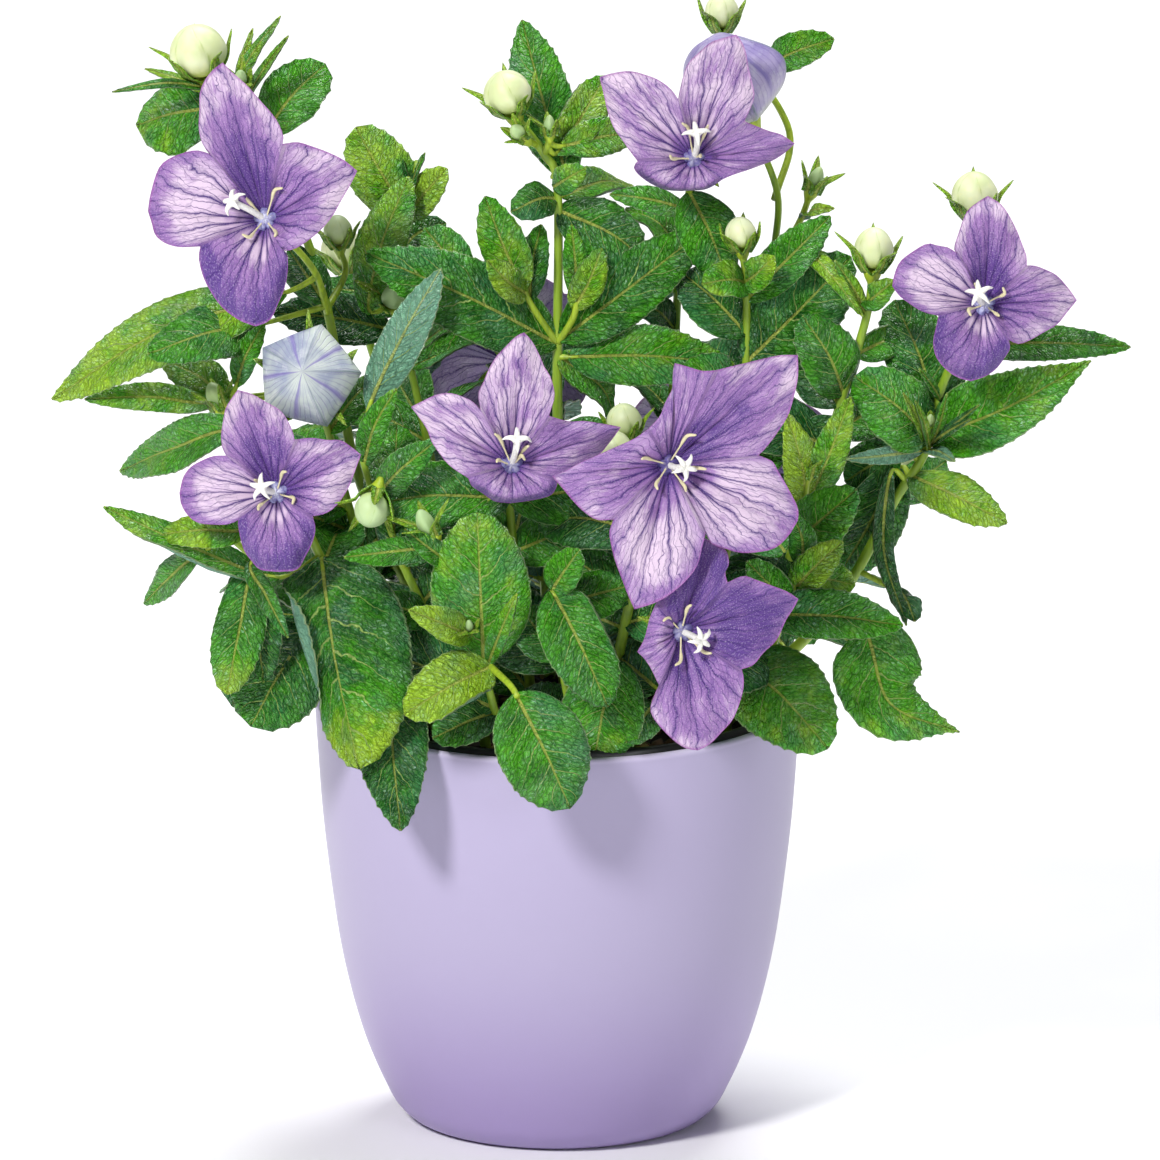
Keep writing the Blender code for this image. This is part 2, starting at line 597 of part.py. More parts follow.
STEMS = {
    "stem_upper_left": dict(
        foot=(-22, -2), radius=(1.5, 1.0),
        route=[(-34, 125, -8), (-50, 160, -8), (-57, 199, -4), (-64, 222, 4), (-74, 243, 8),
               (-84, 254, 7), (-88, 259, 6)],
        ends=[("bud", "bud_upper_left", (-88, 259, 6), (-0.25, -0.1, 1), 7.2, 13.5, 8, 12)],
        shoots=[
            dict(route=[(-57, 199, -4), (-61, 211, -12)], bloom="upper_left"),
            dict(route=[(-57, 201, -3), (-53, 210, 8), (-54.5, 217, 10)],
                 bud=("bud_behind", (-0.1, 0, 1), 3.6, 7.5, 5, 26)),
            dict(route=[(-80, 251, 8), (-79, 255, 2), (-79, 257, 0)], small=(1.9, 5)),
        ],
        leaves=[
            (-87, 256, -102.5, 239, 15, 16, 0, 3), (-74, 246, -58.5, 263, 16, 14, 0, 3),
            (-82, 254, -69, 274, 8, 3.6, 0, 1), (-80, 252, -76, 271, 15, 3.2, 0, 1),
            (-79, 250, -67, 269, 0, 3.2, 0, 1), (-85, 256, -111, 255, -2, 3.4, 0, 2),
            (-84, 254, -103, 261, 18, 3, 0, 1), (-66, 205, -126, 178.5, -2, 15, 0, 7),
            (-62, 199, -101, 190, -26, 13, 0, 4), (-60, 186, -118, 178, 10, 8, 0, 3),
            (-57, 192, -99, 184, 36, 11, 0, 2),
        ]),
    "stem_left_back": dict(
        foot=(-16, 12), radius=(1.4, 0.7),
        route=[(-24, 130, 14), (-33, 170, 16), (-40, 205, 16), (-37, 226, 14), (-35, 238, 12)],
        shoots=[dict(route=[(-40, 198, 16), (-41, 202, 4), (-41, 203, 2)], small=(3.6, 6))],
        leaves=[
            (-38, 225, -51, 247, 16, 16, 0, 2), (-36, 226, -27, 236, 8, 9, 0, 2),
            (-47, 201, -37, 234, 6, 14, 0, 3), (-35, 236, -31, 247, 10, 4.5, 0, 1),
            (-35, 236, -40, 247, 16, 5, 0, 1), (-37, 216, -17, 222, 22, 8, 0, 2),
            (-36, 190, -21, 200, 8, 7, 0, 1), (-38, 200, -62, 206, 24, 12, 0, 3),
            (-32, 168, -58, 176, 22, 14, 0, 3), (-33, 172, -12, 184, 20, 14, 0, 3),
        ]),
    "stem_centre": dict(
        foot=(2, 2), radius=(1.7, 1.0),
        route=[(1, 130, 0), (0, 175, -6), (0, 192, -6), (0, 231, -6), (-3, 239, -6),
               (-9, 247, -6), (-11, 250, -6)],
        ends=[("bud", "bud_centre_top", (-11, 250, -6), (-0.3, -0.2, 1), 6.0, 11, 8, 20)],
        shoots=[
            dict(route=[(0, 193, -6), (-6, 201, -10), (-9, 207, -10)]),
            dict(route=[(0, 193, -6), (4, 199, -10), (5, 205, -10)]),
            dict(route=[(-5, 242, -6), (-8, 243, -12), (-9, 244, -13)], small=(2.2, 4)),
            dict(route=[(-3, 239, -6), (-2, 243, -8), (-2, 245, -8)], small=(1.7, 4)),
        ],
        leaves=[
            (0, 234, -10.5, 273, 15, 14, 0, 3), (0, 240, 12, 259, 8, 8, 0, 2),
            (0, 238, 19, 240, 2, 10, 0, 2), (0, 231, -11, 226, -14, 10, 0, 3),
            (1, 232, 7, 236, -13, 7, 0, 2), (1, 225, 22, 213, -4, 15, 0, 4),
            (1, 229, 18, 232, 20, 11, 0, 3), (-1, 192, -48, 215, -12, 19, 0, 8),
            (2, 193, 37, 221, -2, 16, 0, 6), (3, 189, 44, 187, -16, 16, 0, 4),
            (-9, 206, -18, 229, -8, 10, 0, 2), (-8, 205, -3, 221, -20, 6, 0, 1),
            (-9, 205, -17, 213, -23, 8, 0, 2), (5, 204, 2.5, 222, -14, 5, 0, 1),
            (5, 201, 11, 216, -12, 8, 0, 2), (1, 189, 20, 176, 4, 15, 0, 4), (0, 170, 18, 160, 6, 14, 0, 4),
        ]),
    "stem_top_right": dict(
        foot=(16, 6), radius=(1.5, 0.9),
        route=[(22, 130, 8), (28, 170, 8), (30, 205, 8), (32, 224, 4)],
        bloom="top_right",
        leaves=[
            (30, 226, 42, 210, -6, 15, 0, 4), (31, 214, 17, 226, 14, 13, 0, 3),
            (30, 206, 16, 200, 18, 13, 0, 3),
            (28, 175, 12, 184, 20, 13, 0, 3),
        ]),
    "stem_right_bud": dict(
        foot=(26, -8), radius=(1.4, 0.9),
        route=[(36, 130, -10), (45, 165, -12), (47, 189, -12), (47, 207, -14), (46, 216, -14)],
        ends=[("bud", "bud_right_small", (46, 216, -14), (-0.1, -0.1, 1), 3.9, 8, 7, 45)],
        leaves=[
            (47, 207, 36, 208, -24, 10, 0, 2), (47, 207, 54, 214, -22, 8, 0, 2),
            (47, 203, 68, 224, -8, 11, 0, 3), (47, 187, 73, 214, -6, 20, 0, 5),
            (46, 180, 31, 186, -24, 13, 0, 3), (44, 160, 60, 172, -20, 12, 0, 3),
        ]),
    "stem_balloon_right": dict(
        foot=(30, 14), radius=(1.5, 0.8),
        route=[(42, 140, 14), (51, 190, 12), (54, 215, 10), (55, 229, 8), (51, 241, 8),
               (48, 249, 8)],
        ends=[("balloon", "balloon_right", (48, 249, 8), (-0.42, -0.25, 0.86), 12.5, 24, 0, 0)],
        shoots=[
            dict(route=[(55, 229, 8), (58, 245, 22), (48, 262, 28), (41, 271, 26)],
                 bud=("bud_top_edge", (0, 0, 1), 4.2, 9, 8, 55)),
            dict(route=[(54, 213, 10), (60, 222, 4), (63.5, 231, 2)], small=(2.2, 6)),
        ],
        leaves=[
            (51, 245, 69, 268, 16, 10.5, 0, 3),
            (60, 224, 69, 226, -6, 3.4, 0, 1), (54, 216, 76, 199, -24, 5.5, 0, 8),
            (52, 200, 70, 186, 22, 14, 0, 4),
        ]),
    "stem_right_inner": dict(
        foot=(34, -12), radius=(1.7, 1.0),
        route=[(50, 120, -18), (62, 150, -20), (71, 179, -18), (77, 199, -16), (78, 209, -16)],
        ends=[("bud", "bud_right", (78.5, 211, -16), (0.05, -0.1, 1), 4.9, 10.5, 8, 42)],
        shoots=[dict(route=[(62, 149, -20), (62, 156, -26), (62.5, 160, -27)], small=(1.9, 7))],
        leaves=[
            (77, 202, 84, 208, -24, 6.5, 0, 2), (77, 200, 69, 213, -16, 4, 0, 1),
            (71, 180, 61, 199, -20, 15, 0, 4), (62, 151, 59, 175, -32, 11, 0, 3),
            (59, 142, 75, 156, -36, 14, 0, 3), (68, 170, 84, 178, 0, 13, 0, 3),
            (74, 190, 86, 194, -4, 9, 0, 2),
            (57, 138, 72, 140, -6, 13, 0, 3),
        ]),
    "stem_right": dict(
        foot=(40, 6), radius=(1.6, 1.0),
        route=[(58, 115, 0), (72.5, 132, -8), (84, 153, -12), (92, 166, -12), (96, 182, -12)],
        bloom="right",
        shoots=[
            dict(route=[(96, 181, -12), (101, 200, 0), (104, 222, -2), (104, 224, -3)],
                 bud=("bud_far_right", (0, -0.1, 1), 5.8, 11.5, 8, 40)),
            dict(route=[(92, 166, -12), (93, 170, -17), (93, 172, -18)], small=(1.4, 3)),
        ],
        leaves=[
            (98, 188, 143, 192, 4, 10, 0, 3), (93, 167, 133, 188, -16, 15, 0, 5),
            (92, 168, 75, 183, -22, 18, 0, 4), (91, 165, 73, 163, -30, 5, 0, 2),
            (92, 166, 99, 163, -30, 4, 0, 1), (88, 160, 112, 148, -24, 12, 0, 4),
            (86, 157, 88, 122, -26, 8, 0, 5), (80, 147, 71, 131, -24, 12, 0, 4),
            (95, 178, 90, 186, -24, 3, 0, 1), (84, 153, 100, 160, 6, 13, 0, 3),
        ]),
    "stem_right_low": dict(
        foot=(42, -16), radius=(1.5, 0.8),
        route=[(49, 106, -30), (54, 118, -38), (58, 130, -40), (62, 140, -36)],
        leaves=[
            (55, 121, 85, 121, -46, 13, 0, 4), (56, 121, 99, 94.5, -30, 21, 0, 7),
            (49, 106, 69, 90, -64, 27, 0, 6), (58, 129, 73, 141, -42, 9, 0, 2),
            (57, 126, 47, 138, -48, 10, 0, 2), (62, 139, 58, 150, -40, 7, 0, 2),
            (60, 134, 74, 131, -26, 9, 0, 2),
        ]),
    "stem_front_large": dict(
        foot=(12, -24), radius=(1.6, 1.0),
        route=[(14, 108, -36), (19, 132, -48), (25, 152, -58)],
        bloom="front_large",
        shoots=[
            dict(route=[(19, 134, -49), (19, 152, -42), (17, 169, -38)],
                 bud=("bud_centre", (-0.1, -0.1, 1), 4.4, 8.5, 6, 35)),
            dict(route=[(19, 150, -43), (16, 159, -45), (15.5, 162, -46)],
                 bud=("bud_centre_low", (-0.25, -0.2, 1), 4.3, 9, 5, 10)),
        ],
        leaves=[
            (21, 140, 44, 152, -40, 14, 0, 3), (18, 128, 2, 140, -44, 12, 0, 3),
            (17, 122, 38, 128, -46, 14, 0, 3),
        ]),
    "stem_front_low": dict(
        foot=(20, -34), radius=(1.5, 1.0),
        route=[(24, 102, -48), (29, 112, -62)],
        bloom="front_low",
        leaves=[
            (25, 104, 44, 106, -58, 13, 0, 3), (22, 98, 22, 84, -66, 12, 0, 3),
        ]),
    "stem_front_centre": dict(
        foot=(-6, -18), radius=(1.5, 1.0),
        route=[(-8, 118, -30), (-11, 142, -40), (-12, 154, -45)],
        bloom="front_centre",
        shoots=[dict(route=[(-9, 124, -33), (-21, 131, -50), (-30, 142, -57), (-31.5, 145, -58)],
                     small=(2.7, 7))],
        leaves=[
            (-10, 140, 11, 149, -46, 13, 0, 3), (-11, 142, -27, 152, -46, 11, 0, 3),
            (-30, 141, -53, 139, -62, 7, 0, 2), (-27, 137, -38, 146, -62, 6, 0, 2),
            (-9, 126, -24, 122, -40, 12, 0, 3),
        ]),
    "stem_left": dict(
        foot=(-30, -20), radius=(1.6, 1.0),
        route=[(-40, 108, -28), (-51, 124, -34), (-59, 139, -36), (-62, 145, -37)],
        bloom="left",
        leaves=[
            (-58, 137, -49.5, 87, -64, 33, 0, 9), (-41, 107, -39, 71, -70, 18, 0, 6),
            (-60, 140, -102.5, 126, -32, 10, 0, 3), (-61, 141, -113, 151, -44, 10, 0, 4),
            (-62, 145, -109, 160, -8, 13, 0, 4), (-58, 135, -82, 110, -22, 12, 0, 4),
            (-54, 128, -88, 104, -54, 11, 0, 3), (-50, 122, -80, 97, -38, 16, 0, 4),
            (-62, 145, -76, 113, -50, 6, 0, 6),
        ]),
    "stem_balloon_left": dict(
        foot=(-32, -6), radius=(1.5, 0.9),
        route=[(-42, 120, -12), (-51, 148, -18), (-57, 170, -22), (-60, 180, -24)],
        ends=[("balloon", "balloon_left", (-61, 183, -27), (-0.12, -0.92, 0.36), 11.5, 20, 9, 30)],
        shoots=[dict(route=[(-52, 152, -18), (-74, 166, -12), (-83, 175, -12), (-84, 177, -12)],
                     small=(3.0, 6))],
        leaves=[
            (-56, 166, -90, 190, -6, 12, 0, 4), (-54, 158, -82, 168, -2, 13, 0, 3),
            (-52, 152, -76, 152, 2, 14, 0, 3), (-48, 140, -34, 152, -18, 12, 0, 3),
            (-57, 170, -46, 184, -18, 8, 0, 2),
        ]),
    "stem_left_centre": dict(
        foot=(-18, -30), radius=(1.5, 0.8),
        route=[(-26, 112, -36), (-37, 134, -42), (-45, 152, -42), (-49, 165, -38)],
        shoots=[dict(route=[(-38, 136, -42), (-43, 150, -50), (-45, 155, -52)],
                     bud=("bud_left_centre", (-0.2, -0.5, -0.6), 4.4, 9, 8, 10))],
        leaves=[
            (-48, 163, -29, 211, -22, 13, 0, 3), (-49, 164, -40, 181, -46, 7, 0, 2),
            (-40, 144, -40, 172, -28, 15, 0, 3), (-38, 137, -24, 160, -34, 14, 0, 3),
            (-34, 128, -20, 142, -34, 11, 0, 3), (-32, 124, -46, 128, -48, 9, 0, 2),
            (-46, 154, -30, 168, -54, 9, 0, 2),
        ]),
    "stem_front_left": dict(
        foot=(-14, -38), radius=(1.4, 0.8),
        route=[(-15, 98, -48), (-18, 110, -54), (-20, 118, -54)],
        shoots=[dict(route=[(-20, 117, -54), (-22, 120, -58), (-22, 121, -59)], small=(1.3, 3.5))],
        leaves=[
            (-18, 114, -20, 150, -58, 24, 0, 4), (-17, 110, -38, 100, -72, 15, 0, 4),
            (-22, 119, -37, 126, -72, 8, 0, 2), (-17, 113, -10, 130, -72, 4.5, 0, 1),
            (-14, 105, 2, 77, -80, 23, 0, 6), (-15, 102, -31, 106, -50, 11, 0, 2),
        ]),
    "stem_front_right": dict(
        foot=(4, -40), radius=(1.4, 0.8),
        route=[(3, 102, -50), (0, 118, -56), (-1, 131, -56)],
        leaves=[
            (-1, 130, 12.5, 102, -72, 17, 0, 5), (-1, 131, 6, 141, -62, 9, 0, 2),
            (3, 112, 9, 91, -54, 20, 0, 4), (0, 114, -9, 126, -50, 12, 0, 2),
            (-1, 126, 18, 132, -48, 12, 0, 3), (3, 103, 24, 108, -40, 12, 0, 3),
        ]),
}

# Blooms: the throat, the way it faces, the depth of the bell, the curl of the lobes, each lobe's
# tip, next notch and fullness, the stigma (x, v, arms, turn) and the stamen ends, all measured
# from the throat
BLOOMS = {
    "upper_left": dict(
        throat=(-73.5, 223.5, -26), look=(-0.12, -0.95, 0.3), bell=8, curl=4,
        lobes=[(-10, 38.5, -12.5, 15.5, 0.55), (-28, 4, -15, -6, 0.95),
               (-2, -26.5, 7, -8.5, 0.95), (23, 12, 5.5, 17.5, 0.55)],
        stigma=(-7, 4, 5, 0.3),
        stamens=[(5, 7.5), (-5, -4), (3, -4.5), (-4, 5)]),
    "left": dict(
        throat=(-70.5, 155, -50), look=(-0.08, -0.95, 0.3), bell=7, curl=5,
        lobes=[(-10, 25, -14, 3, 0.5), (-23, 1, -12, -8, 0.95),
               (1.5, -18.5, 9, -9, 0.95), (20, 9, 5.5, 12, 0.6)],
        stigma=(-3, 1, 5, 0.0),
        stamens=[(3, 5), (-4, -4.5), (4.5, -3), (-5, 3)]),
    "front_centre": dict(
        throat=(-11.5, 162, -60), look=(0.05, -0.97, 0.22), bell=8, curl=5,
        lobes=[(3, 33, -6, 16, 0.6), (-24.5, 14.5, -10, -3, 0.55),
               (4, -9.5, 11, -3, 0.95), (27, 9, 7.5, 14, 0.55)],
        stigma=(1, 6.5, 4, 0.2),
        stamens=[(-4.5, 8), (-4, 1), (3, 1.5), (4, 5)]),
    "front_large": dict(
        throat=(28, 162, -74), look=(0.06, -0.95, 0.3), bell=8, curl=4,
        lobes=[(2, 26, -6, 10, 0.4), (-29, -4, -13, -13, 0.55), (-8, -36, 9, -17, 0.6),
               (33, -15, 21, 2, 0.8), (32, 27, 11, 23, 0.6)],
        stigma=(3.5, -1, 5, 0.5),
        stamens=[(6.5, 7), (-7, 1), (-3, -6.5), (9, -1.5), (4, -7)]),
    "front_low": dict(
        throat=(30.5, 121, -80), look=(0.1, -0.96, 0.15), bell=7, curl=4,
        lobes=[(8, 19, -3, 9, 0.7), (-11, -5, -5, -11, 0.5), (5, -29, 13, -9, 0.75),
               (28, 9, 12, 11, 0.55)],
        stigma=(4, -1.5, 5, 0.2),
        stamens=[(-5, 3), (2, 7), (-2, -8), (7, -5)]),
    "top_right": dict(
        throat=(34, 238.5, -14), look=(0.0, -0.98, 0.15), bell=8, curl=5,
        lobes=[(10, 31, -4, 14, 0.75), (-23.5, 20.5, -13, 1, 0.55), (-5, -8, 6, -5, 0.95),
               (25, 4.5, 12, 9.5, 0.6)],
        stigma=(0.5, 7, 4, 0.4),
        stamens=[(-3, 9.5), (3.5, 9), (-6, 1.5), (1.5, 1)]),
    "right": dict(
        throat=(106, 202, -24), look=(0.12, -0.95, 0.28), bell=7, curl=5,
        lobes=[(1, 26, -8, 11.5, 0.6), (-22, 7, -12, -3, 0.9), (-3, -18, 6, -9, 0.95),
               (22, 1, 9, 9, 0.6)],
        stigma=(-2, 2.5, 5, 0.1),
        stamens=[(4, 4), (-4, -3), (3, -3), (-3, 5)]),
}

# The unseen back: stems, blooms and leaves by rule, as on a plant of this kind

BACK_BLOOM = [(0, 27, -9, 12, 0.6), (-25.7, 8.3, -14.3, -4.6, 0.6), (-15.9, -21.8, 0, -15, 0.6),
              (15.9, -21.8, 14.3, -4.6, 0.6), (25.7, 8.3, 9, 12, 0.6)]

BACK_STEMS = {
    "stem_back_left": dict(
        foot=(-24, 26), radius=(1.6, 1.0), leaves=6, turn=60,
        route=[(-34, 40, 140), (-44, 52, 175), (-52, 58, 200)],
        ends=[("bud", "bud_back_left", (-53, 59, 203), (-0.2, 0.1, 1), 5.4, 10.5, 8, 22)]),
    "stem_back_centre": dict(
        foot=(-2, 34), radius=(1.6, 1.0), leaves=5, turn=40,
        route=[(-4, 50, 135), (-9, 60, 165)], bloom="back_centre"),
    "stem_back_right": dict(
        foot=(20, 34), radius=(1.6, 1.0), leaves=5, turn=50,
        route=[(28, 50, 128), (36, 58, 146)], bloom="back_right"),
    "stem_back_far_right": dict(
        foot=(38, 22), radius=(1.5, 0.9), leaves=5, turn=-30,
        route=[(58, 34, 126), (82, 44, 150)],
        ends=[("bud", "bud_back_right", (84, 45, 153), (0.25, 0.1, 1), 4.6, 9.5, 7, 22)]),
    "stem_back_far_left": dict(
        foot=(-38, 12), radius=(1.5, 0.8), leaves=6, turn=50,
        route=[(-58, 20, 122), (-84, 26, 144)]),
}

BLOOMS["back_centre"] = dict(
    throat=(-12, 188, 72), look=(-0.1, 0.85, 0.5), bell=8, curl=4, lobes=BACK_BLOOM,
    stigma=(1, 2, 5, 0.2), stamens=[(5, 5), (-6, 3), (-2, -7), (7, -3)])
BLOOMS["back_right"] = dict(
    throat=(44, 164, 74), look=(0.3, 0.85, 0.42), bell=8, curl=4, lobes=BACK_BLOOM,
    stigma=(-1, 2, 5, 0.6), stamens=[(6, 3), (-5, 5), (-4, -6), (4, -6)])


def rule_leaves(curve, count, turn, rng):
    """Leaves set round a stem by the golden angle, kept to the back and the sides."""
    rows = []
    outward = math.atan2(curve[-1][1] + curve[-1][1] - curve[1][1], 2 * curve[-1][0] - curve[1][0])
    for k in range(count):
        share = 0.26 + 0.46 * (k + 0.5) / count
        root, _ = along(curve, share)
        angle = outward + math.radians(-70 + 140 * ((turn / 100 + 0.382 * k) % 1.0))
        rise = 0.05 - 0.15 * (k % 2)
        way = unit(np.array((math.cos(angle), math.sin(angle), rise)))
        length = rng.uniform(32, 46) * (1.1 - 0.35 * share)
        base, tip = root + way * 1.5, root + way * length
        rows.append((base[0], view_height(base), tip[0], view_height(tip), tip[1],
                     rng.uniform(12, 16), rng.uniform(-12, 12), rng.uniform(2, 6)))
    return rows


def build_stem(name, entry, number):
    """One leafy stem: the stem, its side shoots, calyx cups, small buds and leaves in one piece."""
    rng = np.random.default_rng(100 + number)
    fx, fy = entry["foot"]
    back = "turn" in entry
    route = [np.array(p, float) if back else seen(*p) for p in entry["route"]]
    extras, green_ends = [], []
    start = [np.array((fx, fy, SOIL_TOP - STEM_SINK + CLEAR))]
    if "bloom" in entry:
        bloom = BLOOMS[entry["bloom"]]
        green_ends.append(bloom_seat(bloom))
        route.append(green_ends[-1][0] - green_ends[-1][1] * CALYX * 1.3)
    for kind, label, place, axis, radius, length, sepals, spread in entry.get("ends", []):
        place = np.array(place, float) if back else seen(*place)
        axis = unit(np.array(axis, float))
        green_ends.append((place, axis, min(CALYX, radius * 0.45), sepals, min(spread, 26)))
        extras.append((kind, label, place + axis * CLEAR, axis, radius, length))
        route[-1] = place - axis * 1.5
    above = np.array((fx, fy, SOIL_TOP + 1.0))
    main = np.vstack([start, evened(spline([above] + route, 8), 14.0)])
    fine = evened(main, 1.5)
    low, high = entry["radius"]
    obj = node_object(name, tube(name, main, np.linspace(low, high, len(main)), 4),
                      LEAF_GREEN, 0.5)
    pieces, curves = [], [fine[:-2]]
    for k, shoot in enumerate(entry.get("shoots", [])):
        points = [seen(*p) for p in shoot["route"]]
        if "bloom" in shoot:
            green_ends.append(bloom_seat(BLOOMS[shoot["bloom"]]))
            points.append(green_ends[-1][0] - green_ends[-1][1] * CALYX * 1.3)
        way = unit(points[-1] - points[-2])
        if "bud" in shoot:
            label, axis, radius, length, sepals, spread = shoot["bud"]
            axis = unit(np.array(axis, float))
            green_ends.append((points[-1], axis, min(CALYX, radius * 0.45), sepals,
                               min(spread, 26)))
            extras.append(("bud", label, points[-1] + axis * CLEAR, axis, radius, length))
            points[-1] = points[-1] - axis * 1.2
        if "small" in shoot:
            radius, length = shoot["small"]
            mesh = bud_mesh(f"{name}_small_{k}", points[-1] - way * 0.6, way, radius,
                            length + 1.5, 0.55, 5, 3)
            pieces.append(helper_object(mesh.name, mesh))
        points[0] = fine[int(np.argmin([np.linalg.norm(p - points[0]) for p in fine]))]
        line = evened(spline(points, 8), 9.0)
        mesh = tube(f"{name}_shoot_{k}", line, np.linspace(0.9, 0.75, len(line)), 4)
        pieces.append(helper_object(mesh.name, mesh))
        curves.append(evened(line, 1.5)[:-1])
    for k, (place, axis, size, sepals, spread) in enumerate(green_ends):
        cup = calyx_mesh(f"{name}_calyx_{k}", place, axis, size, sepals, spread)
        pieces.append(helper_object(cup.name, cup))
    reach = np.vstack(curves)
    rows = rule_leaves(fine, entry["leaves"], entry["turn"], rng) if back else entry["leaves"]
    for k, row in enumerate(rows):
        mesh = leaf_mesh(f"{name}_leaf_{k}", reach, row, rng)
        pieces.append(helper_object(mesh.name, mesh))
    join_all(obj, pieces)
    lighten(obj, SEAM_SHARE)
    obj.data.materials.clear()
    obj.data.materials.append(bpy.data.materials[name])
    smooth(obj, 50)
    for kind, label, place, axis, radius, length in extras:
        build_bud(kind, label, place, axis, radius, length)


def bloom_seat(bloom):
    """Where the calyx cup of a bloom ends, just behind its corolla."""
    look = unit(np.array(bloom["look"], float))
    return seen(*bloom["throat"]) - look * (PETAL / 2 + CLEAR), look, CALYX, 9.0, -18


def build_bud(kind, label, place, axis, radius, length):
    point = 0.75 if kind == "balloon" else 0.25
    colour = (0.35, 0.33, 0.6) if kind == "balloon" else (0.75, 0.8, 0.45)
    obj = node_object(label, bud_mesh(label, place, axis, radius, length, point), colour, 0.5)
    smooth(obj, 50)


def build_bloom(name, bloom):
    look = unit(np.array(bloom["look"], float))
    throat = seen(*bloom["throat"])
    label = "corolla_" + name
    mesh = corolla_mesh(label, throat, look, bloom["lobes"], bloom["bell"], bloom["curl"])
    smooth(node_object(label, mesh, PETAL_PURPLE, 0.45), 60)
    centre_object("centre_" + name, throat, look, bloom["bell"], bloom["stigma"],
                  bloom["stamens"])


# Holes in the soil, one for each stem

holes = []
for name, entry in {**STEMS, **BACK_STEMS}.items():
    fx, fy = entry["foot"]
    work = bmesh.new()
    wide = (entry["radius"][0] + 1.3) * MM
    bmesh.ops.create_cone(work, cap_ends=True, segments=6, radius1=wide, radius2=wide,
                          depth=2 * STEM_SINK * MM)
    mesh = bpy.data.meshes.new("hole")
    work.to_mesh(mesh)
    work.free()
    hole = helper_object("hole_" + name, mesh)
    hole.location = (fx * MM, fy * MM, SOIL_TOP * MM)
    holes.append(hole)
bpy.context.view_layer.update()
join_all(soil, holes, "DIFFERENCE")

for number, (name, entry) in enumerate({**STEMS, **BACK_STEMS}.items()):
    build_stem(name, entry, number)
for name, bloom in BLOOMS.items():
    build_bloom(name, bloom)
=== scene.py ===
"""Potted balloon flower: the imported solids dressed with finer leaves, petals, soil and finishes.

Sizes in the sections are millimetres. The front is -Y. Plant positions are (x, v, y): x to the
right, y to the back, and v the height as it looks from the camera, VIEW_TILT above level.
"""

import math

import bpy
import numpy as np
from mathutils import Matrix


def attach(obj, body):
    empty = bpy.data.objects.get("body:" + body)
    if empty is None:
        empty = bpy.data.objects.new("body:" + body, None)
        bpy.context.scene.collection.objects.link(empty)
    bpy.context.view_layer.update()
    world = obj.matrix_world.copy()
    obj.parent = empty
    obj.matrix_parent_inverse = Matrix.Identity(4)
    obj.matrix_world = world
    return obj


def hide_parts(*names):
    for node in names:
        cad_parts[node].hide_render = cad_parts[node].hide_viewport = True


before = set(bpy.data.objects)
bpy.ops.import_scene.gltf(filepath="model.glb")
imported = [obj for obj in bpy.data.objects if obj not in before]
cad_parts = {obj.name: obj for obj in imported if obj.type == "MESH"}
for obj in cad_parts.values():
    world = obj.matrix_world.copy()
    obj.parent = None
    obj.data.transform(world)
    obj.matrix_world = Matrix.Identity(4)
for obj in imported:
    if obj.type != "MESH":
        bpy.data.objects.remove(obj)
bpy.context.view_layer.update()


# Camera, floor and studio light
# The photograph looks at the pot from a little above its rim, from far away, against white.
# A wide soft light stands at the upper left, a weaker one at the right and one behind.

MM = 0.001
VIEW_TILT = math.radians(15)
PHOTO_SPAN = 290.0
PHOTO_MIDDLE = (5.6, 133.4)
LENS = 1400.0
FLOOR_GREY = (0.90, 0.905, 0.92)
FLOOR_WHITE = (0.94, 0.945, 0.955)

stage_scene = bpy.context.scene
camera_data = bpy.data.cameras.new("camera")
camera_data.lens = LENS
camera_data.sensor_width = 36.0
camera_data.clip_end = 60.0
camera = bpy.data.objects.new("camera", camera_data)
stage_scene.collection.objects.link(camera)
reach = PHOTO_SPAN * MM * LENS / camera_data.sensor_width
camera.location = (PHOTO_MIDDLE[0] * MM, -math.cos(VIEW_TILT) * reach,
                   PHOTO_MIDDLE[1] * MM / math.cos(VIEW_TILT) + math.sin(VIEW_TILT) * reach)
camera.rotation_euler = (math.pi / 2 - VIEW_TILT, 0, 0)
stage_scene.camera = camera


def soft_light(name, place, aim, size, power, colour):
    data = bpy.data.lights.new(name, "AREA")
    data.shape = "DISK"
    data.size = size
    data.energy = power
    data.color = colour
    lamp = bpy.data.objects.new(name, data)
    stage_scene.collection.objects.link(lamp)
    lamp.location = place
    direction = np.array(aim) - np.array(place)
    flat = math.hypot(direction[0], direction[1])
    lamp.rotation_euler = (math.atan2(flat, -direction[2]), 0,
                           math.atan2(direction[1], direction[0]) - math.pi / 2)
    return lamp


soft_light("key_light", (-1.2, -1.9, 1.9), (0, 0, 0.14), 0.55, 72, (1.0, 0.985, 0.96))
soft_light("fill_light", (1.3, -2.0, 0.9), (0, 0, 0.14), 0.9, 8, (0.95, 0.97, 1.0))
overhead = bpy.data.lights.new("overhead_light", "SUN")
overhead.energy = 3.1
overhead.angle = 0.5
overhead_lamp = bpy.data.objects.new("overhead_light", overhead)
overhead_lamp.rotation_euler = (math.radians(-24), math.radians(8), 0)
stage_scene.collection.objects.link(overhead_lamp)

sky = bpy.data.worlds.new("studio")
sky.use_nodes = True
sky.node_tree.nodes["Background"].inputs["Color"].default_value = (0.97, 0.985, 1.0, 1.0)
sky.node_tree.nodes["Background"].inputs["Strength"].default_value = 0.14
stage_scene.world = sky
stage_scene.view_settings.view_transform = "Standard"

